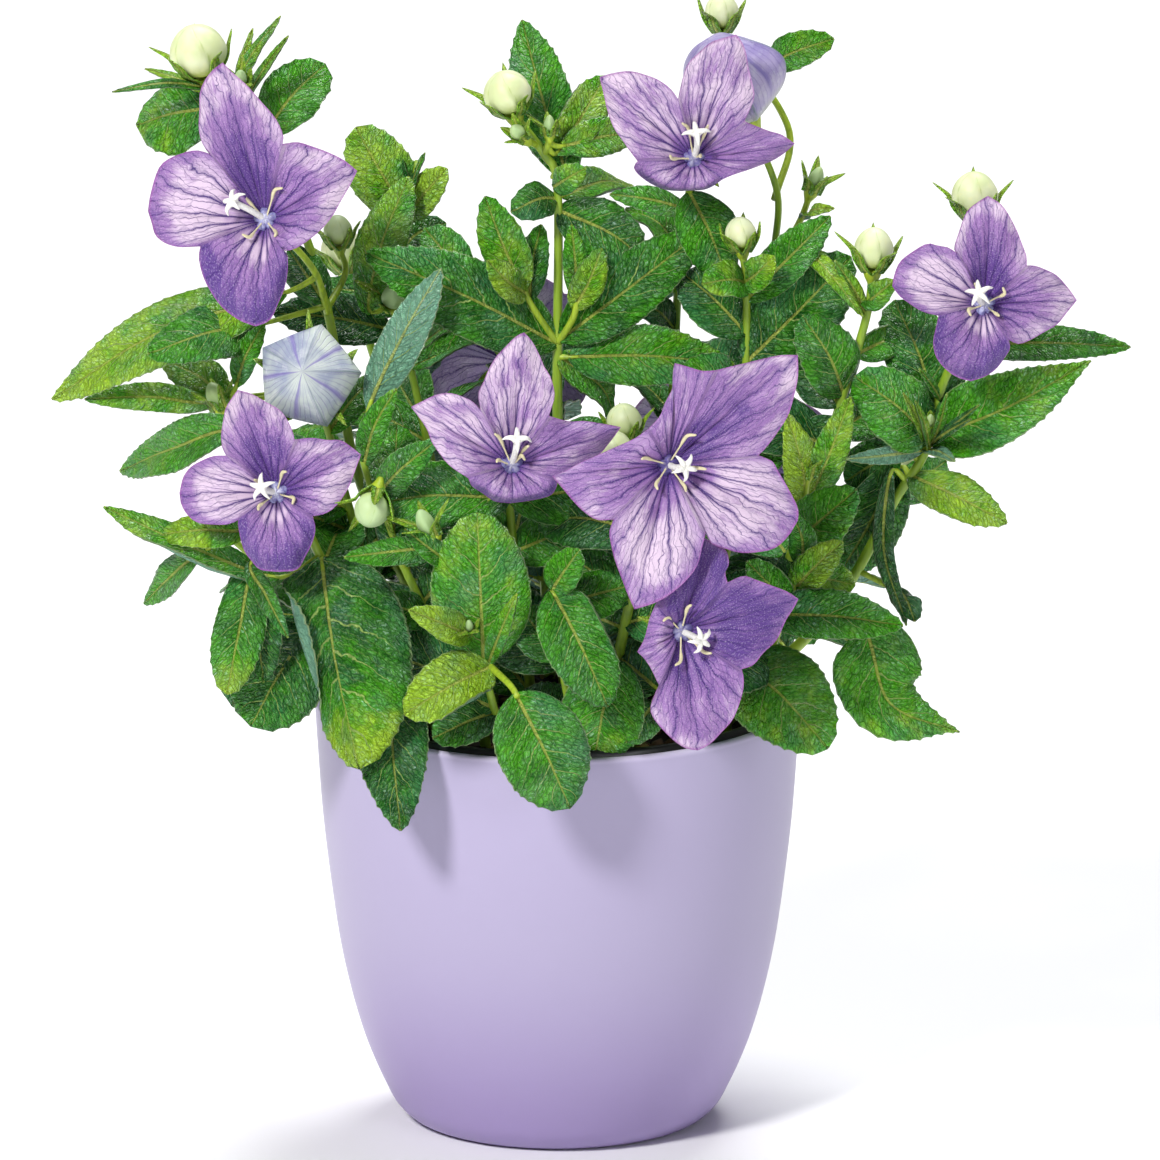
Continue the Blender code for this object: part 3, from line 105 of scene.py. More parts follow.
floor_mesh = bpy.data.meshes.new("floor")
floor_mesh.from_pydata([(-6, -6, 0), (6, -6, 0), (6, 10, 0), (-6, 10, 0)], [], [(0, 1, 2, 3)])
floor = bpy.data.objects.new("floor", floor_mesh)
stage_scene.collection.objects.link(floor)


def node(tree, kind, feeds=None, **settings):
    """A shader node, its settings, and what feeds its inputs: a value or another socket."""
    made = tree.nodes.new(kind)
    for key, value in settings.items():
        setattr(made, key, value)
    for key, value in (feeds or {}).items():
        if isinstance(value, bpy.types.NodeSocket):
            tree.links.new(value, made.inputs[key])
        else:
            made.inputs[key].default_value = value
    return made


def link(value, socket):
    socket.id_data.links.new(value, socket)


def on_object(tree):
    """The place on the object, in metres."""
    return node(tree, "ShaderNodeTexCoord").outputs["Object"]


def split(vector):
    """The three numbers of a vector or colour, by the names X, Y and Z."""
    return node(vector.id_data, "ShaderNodeSeparateXYZ", {0: vector}).outputs


def maths(operation, *values, clamp=False):
    """A number worked out from other sockets and plain numbers."""
    tree = next(v.id_data for v in values if isinstance(v, bpy.types.NodeSocket))
    made = node(tree, "ShaderNodeMath", dict(enumerate(values)), operation=operation, use_clamp=clamp)
    return made.outputs[0]


def times(first, second):
    return maths("MULTIPLY", first, second)


def plus(first, second):
    return maths("ADD", first, second)


def times_plus(first, second, third):
    return maths("MULTIPLY_ADD", first, second, third)


def smooth_step(value, low, high, start=0.0, end=1.0):
    feeds = {"Value": value, "From Min": low, "From Max": high, "To Min": start, "To Max": end}
    return node(value.id_data, "ShaderNodeMapRange", feeds, interpolation_type="SMOOTHSTEP").outputs[0]


def blend(share, first, second):
    """Two colours mixed by a share."""
    first, second = [(*c, 1.0) if isinstance(c, tuple) else c for c in (first, second)]
    feeds = {0: share, 6: first, 7: second}
    return node(share.id_data, "ShaderNodeMix", feeds, data_type="RGBA").outputs[2]


def noise(vector, scale, detail=2.0, roughness=0.5):
    feeds = {"Vector": vector, "Scale": scale, "Detail": detail, "Roughness": roughness}
    return node(vector.id_data, "ShaderNodeTexNoise", feeds).outputs["Fac"]


def finish_of(name, **sockets):
    """A material with its own shader. Returns the material, its tree and the shader."""
    made = bpy.data.materials.new(name)
    made.use_nodes = True
    shader = made.node_tree.nodes["Principled BSDF"]
    for key, value in sockets.items():
        shader.inputs[key.replace("_", " ")].default_value = value
    return made, made.node_tree, shader


def painted(shader, colour, *coats):
    """The shader's colour, then coats over it, each a share and a colour of its own."""
    for share, coat in coats:
        colour = blend(share, colour, coat)
    link(colour, shader.inputs["Base Color"])


def bumped(shader, height, strength, distance):
    feeds = {"Height": height, "Strength": strength, "Distance": distance}
    link(node(height.id_data, "ShaderNodeBump", feeds).outputs[0], shader.inputs["Normal"])


floor_finish, tree, shader = finish_of("pale floor", Roughness=0.8)
painted(shader, blend(noise(on_object(tree), 3.0), FLOOR_GREY, FLOOR_WHITE))
floor_mesh.materials.append(floor_finish)


# Outer pot
# A smooth lilac cachepot, injection-moulded in glossy plastic with a plain rim, its wall
# curving in to a small flat foot. It is one piece, and the nursery pot stands inside it.

POT_WALL_OUTSIDE = [(60.75, 106.9), (60.2, 98.0), (58.9, 80.0), (57.1, 64.0), (54.7, 47.0),
                    (52.0, 34.0), (48.9, 23.0), (45.9, 15.0), (42.9, 8.5), (40.8, 4.6), (38.0, 1.7),
                    (35.6, 0.4), (33.0, 0.0)]
POT_WALL_INSIDE = [(38.0, 3.0), (42.5, 12.0), (46.6, 24.0), (50.0, 36.0), (52.4, 47.5),
                   (54.9, 62.0), (56.7, 80.0), (57.9, 97.0), (58.5, 106.9)]
LILAC = (0.400, 0.358, 0.530)
LILAC_SHADE = (0.345, 0.268, 0.510)
LILAC_CLOUD = (0.46, 0.41, 0.60)
LILAC_RIM_HIGHLIGHT = (0.72, 0.66, 0.86)
RIM_MIDDLE = (59.6, 106.9)
RIM_ROUND = (1.13, 1.1)
FLOOR_INSIDE = [(20.0, 0.0), (0.0, 0.0), (0.0, 3.0)]


def spline(points, steps):
    """A smooth curve through the points, with steps to each span."""
    pts = np.array(points, float)
    ends = np.vstack([2 * pts[0] - pts[1], pts, 2 * pts[-1] - pts[-2]])
    made = []
    for i in range(1, len(ends) - 2):
        a, b, c, d = ends[i - 1], ends[i], ends[i + 1], ends[i + 2]
        for k in range(steps):
            t = k / steps
            made.append(0.5 * (2 * b + (c - a) * t + (2 * a - 5 * b + 4 * c - d) * t * t
                               + (3 * b - a - 3 * c + d) * t ** 3))
    made.append(pts[-1])
    return np.array(made)


def settled(obj):
    """The object's modifiers made part of its mesh."""
    bpy.context.view_layer.update()
    graph = bpy.context.evaluated_depsgraph_get()
    mesh = bpy.data.meshes.new_from_object(obj.evaluated_get(graph))
    obj.modifiers.clear()
    obj.data = mesh
    for face in mesh.polygons:
        face.use_smooth = True
    return obj


def turned(name, outline, steps, finish):
    """A body turned about Z from an outline that runs top to bottom on its outer side."""
    mesh = bpy.data.meshes.new(name)
    edges = [(i, i + 1) for i in range(len(outline) - 1)]
    mesh.from_pydata([(r * MM, 0.0, z * MM) for r, z in outline], edges, [])
    obj = bpy.data.objects.new(name, mesh)
    stage_scene.collection.objects.link(obj)
    turn = obj.modifiers.new("turn", "SCREW")
    turn.steps = turn.render_steps = steps
    turn.use_merge_vertices = True
    turn.merge_threshold = 0.00001
    turn.use_normal_calculate = True
    settled(obj)
    obj.data.materials.clear()
    obj.data.materials.append(finish)
    return obj


pot_finish, tree, shader = finish_of("lilac moulded plastic", Specular_IOR_Level=0.2,
                                     Coat_Weight=0.05, Coat_Roughness=0.2)
place = on_object(tree)
height = split(place)["Z"]
cloud = noise(place, 22.0, 3.0)
# Painted shade: the lilac wall grows darker towards its foot.
painted(shader, blend(smooth_step(height, 0.062, 0.0), LILAC, LILAC_SHADE),
        (times(cloud, 0.12), LILAC_CLOUD),
        # Painted highlight: a paler band along the top of the rim.
        (times(smooth_step(height, 0.1062, 0.1078), 0.5), LILAC_RIM_HIGHLIGHT))
link(times_plus(cloud, 0.10, 0.34), shader.inputs["Roughness"])
bumped(shader, noise(place, 900.0), 0.06, 0.0002)

rim_arc = [(RIM_MIDDLE[0] + RIM_ROUND[0] * math.sin(a), RIM_MIDDLE[1] + RIM_ROUND[1] * math.cos(a))
           for a in np.linspace(-math.pi / 2, math.pi / 2, 9)]
pot_outline = [*rim_arc[4:], *spline(POT_WALL_OUTSIDE, 5)[1:], *FLOOR_INSIDE,
               *spline(POT_WALL_INSIDE, 3), *rim_arc[1:5]]
outer_pot = turned("outer_pot", pot_outline, 128, pot_finish)
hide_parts("pot")
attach(outer_pot, "root")


# Nursery pot
# The thin black pot that the plant was grown in, thermoformed in matt plastic with a rolled rim;
# its floor is drawn whole, without drain holes. It stands loose inside the outer pot.

NURSERY_OUTSIDE = [(57.3, 109.0), (57.8, 108.4), (57.85, 104.6), (57.4, 104.0), (55.5, 103.3),
                   (54.6, 92.0), (52.0, 56.0), (40.4, 14.0), (37.3, 3.5), (36.8, 3.3)]
NURSERY_INSIDE = [(35.2, 4.5), (36.6, 5.2), (51.1, 56.0), (54.6, 104.0), (55.6, 107.6),
                  (56.2, 108.8), (56.7, 109.2)]
NURSERY_FLOOR = [(12.0, 3.3), (0.0, 3.3), (0.0, 4.5), (12.0, 4.5)]
NURSERY_BLACK = (0.010, 0.012, 0.011)
DRY_DUST = (0.10, 0.065, 0.04)

nursery_finish, tree, shader = finish_of("black nursery plastic", Specular_IOR_Level=0.55)
place = on_object(tree)
dust = times(smooth_step(noise(place, 95.0, 5.0, 0.7), 0.50, 0.72),
             smooth_step(split(place)["Z"], 0.1085, 0.1045))
painted(shader, blend(times(dust, 0.5), NURSERY_BLACK, DRY_DUST))
link(smooth_step(dust, 0.0, 1.0, 0.28, 0.8), shader.inputs["Roughness"])
bumped(shader, noise(place, 260.0, 4.0), 0.25, 0.0003)

nursery_outline = [*NURSERY_OUTSIDE, *NURSERY_FLOOR, *NURSERY_INSIDE, NURSERY_OUTSIDE[0]]
inner_pot = turned("inner_pot", nursery_outline, 96, nursery_finish)
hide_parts("nursery_pot")
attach(inner_pot, "root")


# Potting mix
# Dark peat with bark crumbs and a few yellow-brown bits, filled loosely to just below the rim
# and settled round the stems. The root ball is hidden in it.

SOIL_TOP = 104.0
SOIL_RADIUS = 54.0
SOIL_SIDES = 120
TOP_RINGS = 46
SOIL_BELOW = [(53.6, 101.0), (50.6, 56.0), (43.0, 28.0), (35.6, 4.9), (0.5, 4.9)]
SETTLED = 0.8
CRUMBS = 900
PEAT = (0.030, 0.021, 0.014)
BARK = (0.16, 0.085, 0.035)
STRAW = (0.42, 0.30, 0.10)
DAMP = (0.012, 0.010, 0.008)


def lumps(x, y, seed, size):
    """Uneven ground: a sum of slanted waves, from about -1 to 1."""
    rng = np.random.default_rng(seed)
    total = 0.0
    for k in range(9):
        angle = rng.uniform(0, math.tau)
        wave = size * rng.uniform(0.6, 1.7)
        total = total + np.sin((x * math.cos(angle) + y * math.sin(angle)) * math.tau / wave
                               + rng.uniform(0, math.tau))
    return total / 4.5


def ground(x, y):
    """The lumpy top of the mix over its flat level, lower along the edge."""
    edge = np.maximum(np.hypot(x, y) - 48, 0) / 6
    return lumps(x, y, 5, 16) * 0.9 + lumps(x, y, 6, 5) * 0.55 - 1.6 * edge - SETTLED


def made_mesh(name, points, faces, finishes, slots=None, marks=None):
    """One object from points in millimetres, its faces, finishes and surface marks."""
    mesh = bpy.data.meshes.new(name)
    mesh.from_pydata((np.asarray(points, float) * MM).tolist(), [], faces)
    for finish in finishes:
        mesh.materials.append(finish)
    if slots is not None:
        mesh.polygons.foreach_set("material_index", slots)
    for label, values in (marks or {}).items():
        field = mesh.attributes.new(label, "FLOAT_VECTOR", "POINT")
        field.data.foreach_set("vector", np.asarray(values, np.float32).ravel())
    mesh.polygons.foreach_set("use_smooth", [True] * len(mesh.polygons))
    mesh.validate()
    mesh.update()
    obj = bpy.data.objects.new(name, mesh)
    stage_scene.collection.objects.link(obj)
    return obj


def carried(tree, label):
    """The three numbers that a mesh carries at each point under a label."""
    return node(tree, "ShaderNodeAttribute", attribute_name=label).outputs["Vector"]


def ring_faces(rings, sides):
    """Faces between rings of points, and a flat face at each end."""
    faces = []
    for i in range(rings - 1):
        for j in range(sides):
            a, b = i * sides + j, i * sides + (j + 1) % sides
            faces.append((a, b, b + sides, a + sides))
    faces.append(tuple(range(sides - 1, -1, -1)))
    faces.append(tuple((rings - 1) * sides + j for j in range(sides)))
    return faces


soil_finish, tree, shader = finish_of("peat and bark", Roughness=0.95)
shade = split(carried(tree, "mark"))["X"]
grit = noise(on_object(tree), 420.0, 5.0, 0.7)
painted(shader, blend(smooth_step(shade, 0.25, 0.55), PEAT, BARK),
        (smooth_step(shade, 0.72, 0.9), STRAW),
        (smooth_step(grit, 0.35, 0.75, 0.0, 0.6), DAMP))
bumped(shader, grit, 0.7, 0.0008)

around = np.arange(SOIL_SIDES) * math.tau / SOIL_SIDES
soil_points = []
for ring in np.linspace(0.5, SOIL_RADIUS, TOP_RINGS):
    x, y = ring * np.cos(around), ring * np.sin(around)
    soil_points += list(zip(x, y, SOIL_TOP + ground(x, y)))
for ring, level in SOIL_BELOW:
    soil_points += [(ring * math.cos(a), ring * math.sin(a), level - SETTLED) for a in around]
soil_faces = [(face[0], *face[:0:-1]) for face in ring_faces(TOP_RINGS + len(SOIL_BELOW), SOIL_SIDES)]
soil_marks = [(0.12, 0, 0)] * len(soil_points)

rng = np.random.default_rng(11)
cube = np.array([(x, y, z) for x in (-1, 1) for y in (-1, 1) for z in (-1, 1)], float)
cube_faces = [(0, 1, 3, 2), (4, 6, 7, 5), (0, 4, 5, 1), (2, 3, 7, 6), (0, 2, 6, 4), (1, 5, 7, 3)]
for k in range(CRUMBS):
    spread = SOIL_RADIUS * 0.97 * math.sqrt(rng.uniform(0.0, 1.0))
    angle = rng.uniform(0, math.tau)
    cx, cy = spread * math.cos(angle), spread * math.sin(angle)
    size = rng.uniform(0.35, 1.5) * (1.0 if rng.uniform() < 0.85 else 1.9)
    shape = cube * (size, size * rng.uniform(0.35, 1.0), size * rng.uniform(0.25, 0.6))
    shape = shape * rng.uniform(0.6, 1.1, shape.shape)
    spin, lean = rng.uniform(0, math.tau), rng.uniform(-0.6, 0.6)
    c, s = math.cos(spin), math.sin(spin)
    shape = shape @ np.array([[c, s, 0], [-s, c, 0], [0, 0, 1]])
    c, s = math.cos(lean), math.sin(lean)
    shape = shape @ np.array([[c, 0, s], [0, 1, 0], [-s, 0, c]])
    start = len(soil_points)
    soil_points += list(shape + (cx, cy, SOIL_TOP + ground(cx, cy) + 0.2))
    soil_faces += [tuple(start + i for i in face) for face in cube_faces]
    shade_here = rng.choice([0.1, 0.45, 0.6, 0.95], p=[0.45, 0.27, 0.16, 0.12])
    soil_marks += [(shade_here, 0, 0)] * 8
potting_mix = made_mesh("potting_mix", soil_points, soil_faces, [soil_finish],
                        marks={"mark": soil_marks})
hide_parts("soil")
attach(potting_mix, "root")


# Leafy stems
# Yellow-green stalks 2 to 3 mm thick that stand in the mix, each with ovate toothed leaves, side
# shoots and narrow bracts grown on it. A leaf is folded along a pale midrib, with arching side
# veins and a fine raised net, and is greyer with stronger veins underneath.

STEM_SINK = 14.0
CLEAR = 0.3
LEAF_THICK = 0.42
TOOTH_GAP = 2.6
MOST_TEETH = 22
VEIN_PAIRS = 6.0
VEIN_SLANT = 0.27
VEIN_BOW = 1.2
VEIN_STAGGER = 0.18
LEAF_DARK = (0.004, 0.100, 0.010)
LEAF_MID = (0.070, 0.410, 0.002)
LEAF_LIME = (0.420, 0.690, 0.030)
LEAF_REFLECTED_BLUE = (0.055, 0.300, 0.100)
LEAF_UNDER = (0.200, 0.440, 0.310)
LEAF_SEAM_SHADE = (0.004, 0.060, 0.004)
LEAF_GLINT_HIGHLIGHT = (0.500, 0.760, 0.620)
LEAF_LIT_PILLOW = (0.160, 0.510, 0.070)
LEAF_RIM = (0.440, 0.600, 0.270)
VEIN_PALE = (0.420, 0.620, 0.160)
MIDRIB_YELLOW = (0.600, 0.680, 0.130)
STALK_GREEN = (0.150, 0.310, 0.016)
STALK_LIME = (0.460, 0.600, 0.035)
STALK_STREAK = (0.090, 0.190, 0.020)
STALK_YELLOW = (0.400, 0.500, 0.080)
BUD_BASE = (0.50, 0.56, 0.04)
BUD_CREAM = (0.74, 0.78, 0.50)
BUD_TIP = (0.66, 0.74, 0.50)
BUD_GREEN = (0.26, 0.46, 0.17)
BUD_FRECKLE = (0.80, 0.80, 0.42)
BUD_SEAM = (0.36, 0.48, 0.10)
BUD_SHADOW = (0.48, 0.58, 0.22)
VIEWER = np.array((0, -math.cos(VIEW_TILT), math.sin(VIEW_TILT)))


def group(name, takes, gives):
    """An empty shader node group, what it takes inside and what it gives. A grain is a vector,
    and the rest are numbers."""
    made = bpy.data.node_groups.new(name, "ShaderNodeTree")
    for way, labels in (("INPUT", takes), ("OUTPUT", gives)):
        for label in labels.split():
            kind = "NodeSocketVector" if label == "Grain" else "NodeSocketFloat"
            made.interface.new_socket(label, in_out=way, socket_type=kind)
    return made, made.nodes.new("NodeGroupInput").outputs, made.nodes.new("NodeGroupOutput").inputs


def stretched(vector, factors):
    return node(vector.id_data, "ShaderNodeVectorMath", {0: vector, 1: factors},
                operation="MULTIPLY").outputs[0]


def moved(vector, by):
    return node(vector.id_data, "ShaderNodeVectorMath", {0: vector, 1: by}).outputs[0]


def cells_of(vector, scale, **kind):
    """A pattern of cells, by default told by how far each place is from their edges."""
    kind = {"feature": "DISTANCE_TO_EDGE", **kind}
    return node(vector.id_data, "ShaderNodeTexVoronoi", {"Vector": vector, "Scale": scale},
                **kind).outputs


leaf_veins, taken, given = group("Leaf veins", "Share Across Side Pairs Wander", "Midrib Laterals Fine")
away = maths("ABSOLUTE", taken["Across"])
side = maths("SIGN", taken["Across"])
slant = times(maths("POWER", away, VEIN_BOW), VEIN_SLANT)
run = times_plus(taken["Wander"], 0.10, maths("SUBTRACT", taken["Share"], slant))
step = times_plus(run, taken["Pairs"], times(side, VEIN_STAGGER))
gap = maths("PINGPONG", step, 0.5)
thin = times_plus(away, -0.034, 0.052)
line = smooth_step(gap, thin, times(thin, 0.3))
fade = smooth_step(away, 0.98, 0.35)
link(times(line, fade), given["Laterals"])
wide = times_plus(taken["Share"], -0.46, 0.68)
ratio = maths("DIVIDE", maths("ABSOLUTE", taken["Side"]), wide)
link(smooth_step(ratio, 1.0, 0.5), given["Midrib"])
gap = maths("PINGPONG", times(step, 4.0), 0.5)
line = smooth_step(gap, 0.12, 0.03)
link(times(line, fade), given["Fine"])

leaf_net, taken, given = group("Leaf net", "Grain Cells", "Pillows Lines Glints Mottle Mosaic")
spans = split(taken["Grain"])
off_rib = maths("ABSOLUTE", spans["Y"])
run = times_plus(off_rib, -0.6, spans["X"])
run = times_plus(maths("SIGN", spans["Y"]), 41.0, run)
slanted = node(leaf_net, "ShaderNodeCombineXYZ", {0: run, 1: times(off_rib, 0.8)}).outputs[0]
bent = node(leaf_net, "ShaderNodeTexNoise", {"Vector": slanted, "Scale": 0.5, "Detail": 3.0},
            noise_dimensions="2D")
spot = moved(slanted, stretched(bent.outputs["Color"], (2.2, 2.2, 0.0)))
cells = cells_of(spot, taken["Cells"], voronoi_dimensions="2D")["Distance"]
small = cells_of(spot, times(taken["Cells"], 2.3), voronoi_dimensions="2D")["Distance"]
# Painted highlight: a random share of the net's cells lighter, as pillows that catch the light.
mosaic = cells_of(spot, taken["Cells"], voronoi_dimensions="2D", feature="F1")
round_top = times(maths("POWER", mosaic["Distance"], 2.0), -1.7)
tilt = split(mosaic["Color"])["X"]
link(times(tilt, smooth_step(cells, 0.02, 0.16)), given["Mosaic"])
pillow = times_plus(smooth_step(cells, 0.0, 0.22), 0.45, round_top)
pillow = times_plus(smooth_step(small, 0.0, 0.3), 0.35, pillow)
pillow = plus(pillow, 0.48)
link(pillow, given["Pillows"])
# The net's seams, painted darker as shade in their grooves.
link(smooth_step(cells, 0.1, 0.01), given["Lines"])
# Painted highlight: bluish-white glints on the pillow tops, in broad zones.
zone = smooth_step(noise(slanted, 0.13, 2.0, 0.6), 0.4, 0.58)
fleck = smooth_step(noise(spot, 1.3, 4.0, 0.75), 0.5, 0.64)
fleck = times(fleck, smooth_step(pillow, 0.35, 1.2))
fleck = times_plus(fleck, 0.94, 0.06)
link(times(fleck, zone), given["Glints"])
link(noise(taken["Grain"], 0.16, 3.0, 0.6), given["Mottle"])

leaf_finish, tree, shader = finish_of("leaf", Specular_IOR_Level=0.45)
mark = split(carried(tree, "mark"))
grain = carried(tree, "grain")
spans = split(grain)
under = spans["Z"]
above = maths("SUBTRACT", 1.0, under)
net = node(tree, "ShaderNodeGroup", {"Grain": grain, "Cells": 0.95}, node_tree=leaf_net).outputs
veins = node(tree, "ShaderNodeGroup",
             {"Share": mark["X"], "Across": mark["Y"], "Side": spans["Y"], "Pairs": VEIN_PAIRS,
              "Wander": net["Mottle"]}, node_tree=leaf_veins).outputs
patch = times_plus(net["Mottle"], 1.0, -0.53)
age = maths("ADD", mark["Z"], patch, clamp=True)
tender = smooth_step(age, 0.45, 0.9)
# Painted reflection: bluish patches where the leaves would mirror the pale studio.
reflected_blue_patch = noise(grain, 0.075, 2.0)
# Painted highlight: the lit cells of the net mixed toward a paler green.
shade = times(maths("POWER", net["Mosaic"], 1.5), 0.24)
crisp = times_plus(tender, -0.18, 0.34)
# Painted shade: the hollows between the pillows of the net darker, for the shade that gathers there.
hollow = smooth_step(net["Pillows"], 0.9, 0.15, 0.0, 0.6)
# Painted highlight: the glints on the upper face, mixed toward a bluish white.
bloom = times(times(net["Glints"], 0.62), above)
rib = times(veins["Midrib"], times_plus(mark["X"], -0.5, 0.9))
rim = smooth_step(maths("ABSOLUTE", mark["Y"]), 0.955, 1.0)
painted(shader, blend(smooth_step(age, 0.0, 0.5), LEAF_DARK, LEAF_MID),
        (tender, LEAF_LIME),
        (smooth_step(reflected_blue_patch, 0.5, 0.72, 0.0, 0.65), LEAF_REFLECTED_BLUE),
        (shade, LEAF_LIT_PILLOW),
        (times(net["Lines"], crisp), LEAF_SEAM_SHADE),
        (times(hollow, crisp), LEAF_SEAM_SHADE),
        (times(under, 0.9), LEAF_UNDER),
        (bloom, LEAF_GLINT_HIGHLIGHT),
        (times(veins["Fine"], 0.2), VEIN_PALE),
        (times(veins["Laterals"], 0.92), VEIN_PALE),
        (rib, MIDRIB_YELLOW),
        (times(rim, 0.65), LEAF_RIM))
gloss = times_plus(net["Mottle"], 0.26, 0.11)
link(gloss, shader.inputs["Roughness"])
crumple = noise(grain, 0.55, 3.0, 0.6)
relief = times_plus(crumple, 1.6, net["Pillows"])
relief = times_plus(veins["Laterals"], -1.1, relief)
relief = times_plus(veins["Midrib"], -1.2, relief)
flip = times_plus(under, -2.0, 1.0)
bumped(shader, times(relief, flip), 1.0, 0.00062)

stalk_finish, tree, shader = finish_of("green stalk", Roughness=0.42)
place = on_object(tree)
age = split(carried(tree, "mark"))["Z"]
stretch = node(tree, "ShaderNodeMapping", {"Vector": place, "Scale": (900.0, 900.0, 70.0)})
streak = noise(stretch.outputs[0], 1.0, 3.0)
painted(shader, blend(age, STALK_GREEN, STALK_LIME),
        (smooth_step(streak, 0.42, 0.68, 0.0, 0.5), STALK_STREAK),
        (smooth_step(noise(place, 60.0), 0.5, 0.8, 0.0, 0.4), STALK_YELLOW))
bumped(shader, streak, 0.3, 0.0003)

bud_finish, tree, shader = finish_of("cream bud", Roughness=0.5)
place = on_object(tree)
mark = split(carried(tree, "mark"))
freckle = noise(place, 700.0, 3.0)
small = split(carried(tree, "grain"))["X"]
shadow = smooth_step(noise(place, 110.0, 2.0), 0.48, 0.66, 0.0, 0.45)
painted(shader, blend(smooth_step(mark["X"], 0.02, 0.45), BUD_BASE, BUD_CREAM),
        (smooth_step(mark["X"], 0.72, 1.0, 0.0, 0.55), BUD_TIP),
        (smooth_step(freckle, 0.45, 0.75, 0.0, 0.5), BUD_FRECKLE),
        (smooth_step(mark["Y"], 0.12, 0.0, 0.0, 0.6), BUD_SEAM),
        (times(small, 0.75), BUD_GREEN),
        (shadow, BUD_SHADOW))
bumped(shader, freckle, 0.25, 0.0003)


def unit(vector):
    return vector / max(np.linalg.norm(vector), 1e-9)


def seen(x, v, y):
    """The real place of a point read off the front view at depth y."""
    height = (v - y * math.sin(VIEW_TILT)) / math.cos(VIEW_TILT)
    return np.array((x, y, height), float)


def view_height(point):
    return point[2] * math.cos(VIEW_TILT) + point[1] * math.sin(VIEW_TILT)


def along(curve, share):
    """Point and direction at a share of the curve's length."""
    runs = np.linalg.norm(np.diff(curve, axis=0), axis=1)
    reached = np.concatenate([[0], np.cumsum(runs)])
    want = min(max(share, 0.0), 1.0) * reached[-1]
    i = min(int(np.searchsorted(reached, want, side="right")) - 1, len(runs) - 1)
    i = max(i, 0)
    part = (want - reached[i]) / max(runs[i], 1e-9)
    low, high = max(i - 1, 0), min(i + 2, len(curve) - 1)
    return curve[i] + (curve[i + 1] - curve[i]) * part, unit(curve[high] - curve[low])


def length_of(curve):
    return float(np.linalg.norm(np.diff(curve, axis=0), axis=1).sum())


def evened(curve, step):
    """The curve again, with points about a step apart."""
    count = max(2, int(round(length_of(curve) / step)))
    return np.array([along(curve, k / count)[0] for k in range(count + 1)])


class Heap:
    """Points, faces and their marks, gathered shape by shape into one mesh."""

    def __init__(self):
        self.points, self.faces, self.slots, self.marks, self.grains = [], [], [], [], []

    def add(self, points, faces, slot, marks, grains=None):
        start = len(self.points)
        self.points += [tuple(p) for p in points]
        self.faces += [tuple(start + i for i in face) for face in faces]
        self.slots += [slot] * len(faces)
        self.marks += [tuple(m) for m in marks]
        self.grains += [tuple(g) for g in grains or [(0, 0, 0)] * len(points)]

    def made(self, name, finishes):
        return made_mesh(name, self.points, self.faces, finishes, self.slots,
                         {"mark": self.marks, "grain": self.grains})


def spoke(first, second, turn):
    """The direction at an angle round an axis, from two that stand square to it."""
    return first * math.cos(turn) + second * math.sin(turn)


def both_sides(grains):
    """Grains for the upper face of a sheet, and the same for its underside."""
    return [(*g, 0.0) for g in grains] + [(*g, 1.0) for g in grains]


def add_tube(heap, curve, radii, sides, slot, age=0.3):
    """A round stalk along a curve, closed at both ends."""
    count = len(curve)
    _, direction = along(curve, 0.0)
    across = unit(np.cross(direction, np.array((0.31, 0.9, 0.12))))
    points, marks = [], []
    for k in range(count):
        direction = unit(curve[min(k + 1, count - 1)] - curve[max(k - 1, 0)])
        across = unit(across - direction * np.dot(across, direction))
        other = np.cross(direction, across)
        for j in range(sides):
            points.append(curve[k] + radii[k] * spoke(across, other, math.tau * j / sides))
            marks.append((k / count, j / sides, age))
    heap.add(points, ring_faces(count, sides), slot, marks)


def leaf_outline(share, blunt, sharp):
    """Half-width of an ovate blade, 1 at its widest, at a share of its length."""
    low, high = 0.62 - 0.10 * blunt, 0.80 - 0.22 * blunt + 0.6 * sharp
    peak = low / (low + high)
    return share ** low * (1 - share) ** high / (peak ** low * (1 - peak) ** high)


def leaf_face(middle, roll, tangent, facing):
    """Direction that the upper face looks in: up and to the front, outwards at the back."""
    front = min(max((34 - middle[1]) / 50, 0), 1) if facing is None else facing
    outward = unit(np.array((middle[0], middle[1], 0.0)))
    look = np.array((0, -0.95 * front, 0.55)) + outward * (0.25 + 0.35 * (1 - front))
    normal = unit(look - tangent * np.dot(look, tangent))
    return unit(spoke(normal, np.cross(tangent, normal), math.radians(roll)))


def leaf(base_x, base_v, tip_x, tip_v, tip_y, width, bow=3, facing=None, tone=None, roll=0, **looks):
    """One leaf of a stem: its base, tip and width, how far it arches, how far it faces the viewer,
    and how young it looks, from 0 to 1. None leaves that to its place."""
    looks.update(facing=facing, tone=tone)
    return base_x, base_v, tip_x, tip_v, tip_y, width, roll, bow, looks


def leaf_line(stem_curve, row):
    """Midrib from inside the stem to the tip, and the share of it that is the stalk."""
    bx, bv, tx, tv, ty, width, roll, bow, looks = row
    gap = [math.hypot(p[0] - bx, view_height(p) - bv) for p in stem_curve]
    root = stem_curve[int(np.argmin(gap))]
    tip = seen(tx, tv, ty)
    base = seen(bx, bv, root[1] + 0.12 * (ty - root[1]))
    stalk = np.linalg.norm(base - root)
    middle = (base + tip) / 2
    tangent = unit(tip - base)
    tilt = roll if abs(roll) <= 90 else roll - 180
    middle = middle + leaf_face(middle, tilt, tangent, looks["facing"]) * bow
    middle = middle + looks.get("bend", 0.0) * seen(*unit(np.array((bv - tv, tx - bx))), 0.0)
    points = [root, base, middle, tip] if stalk > 2.5 else [root, middle, tip]
    curve = spline(points, 10)
    return curve, (stalk / length_of(curve) if stalk > 2.5 else 0.0)


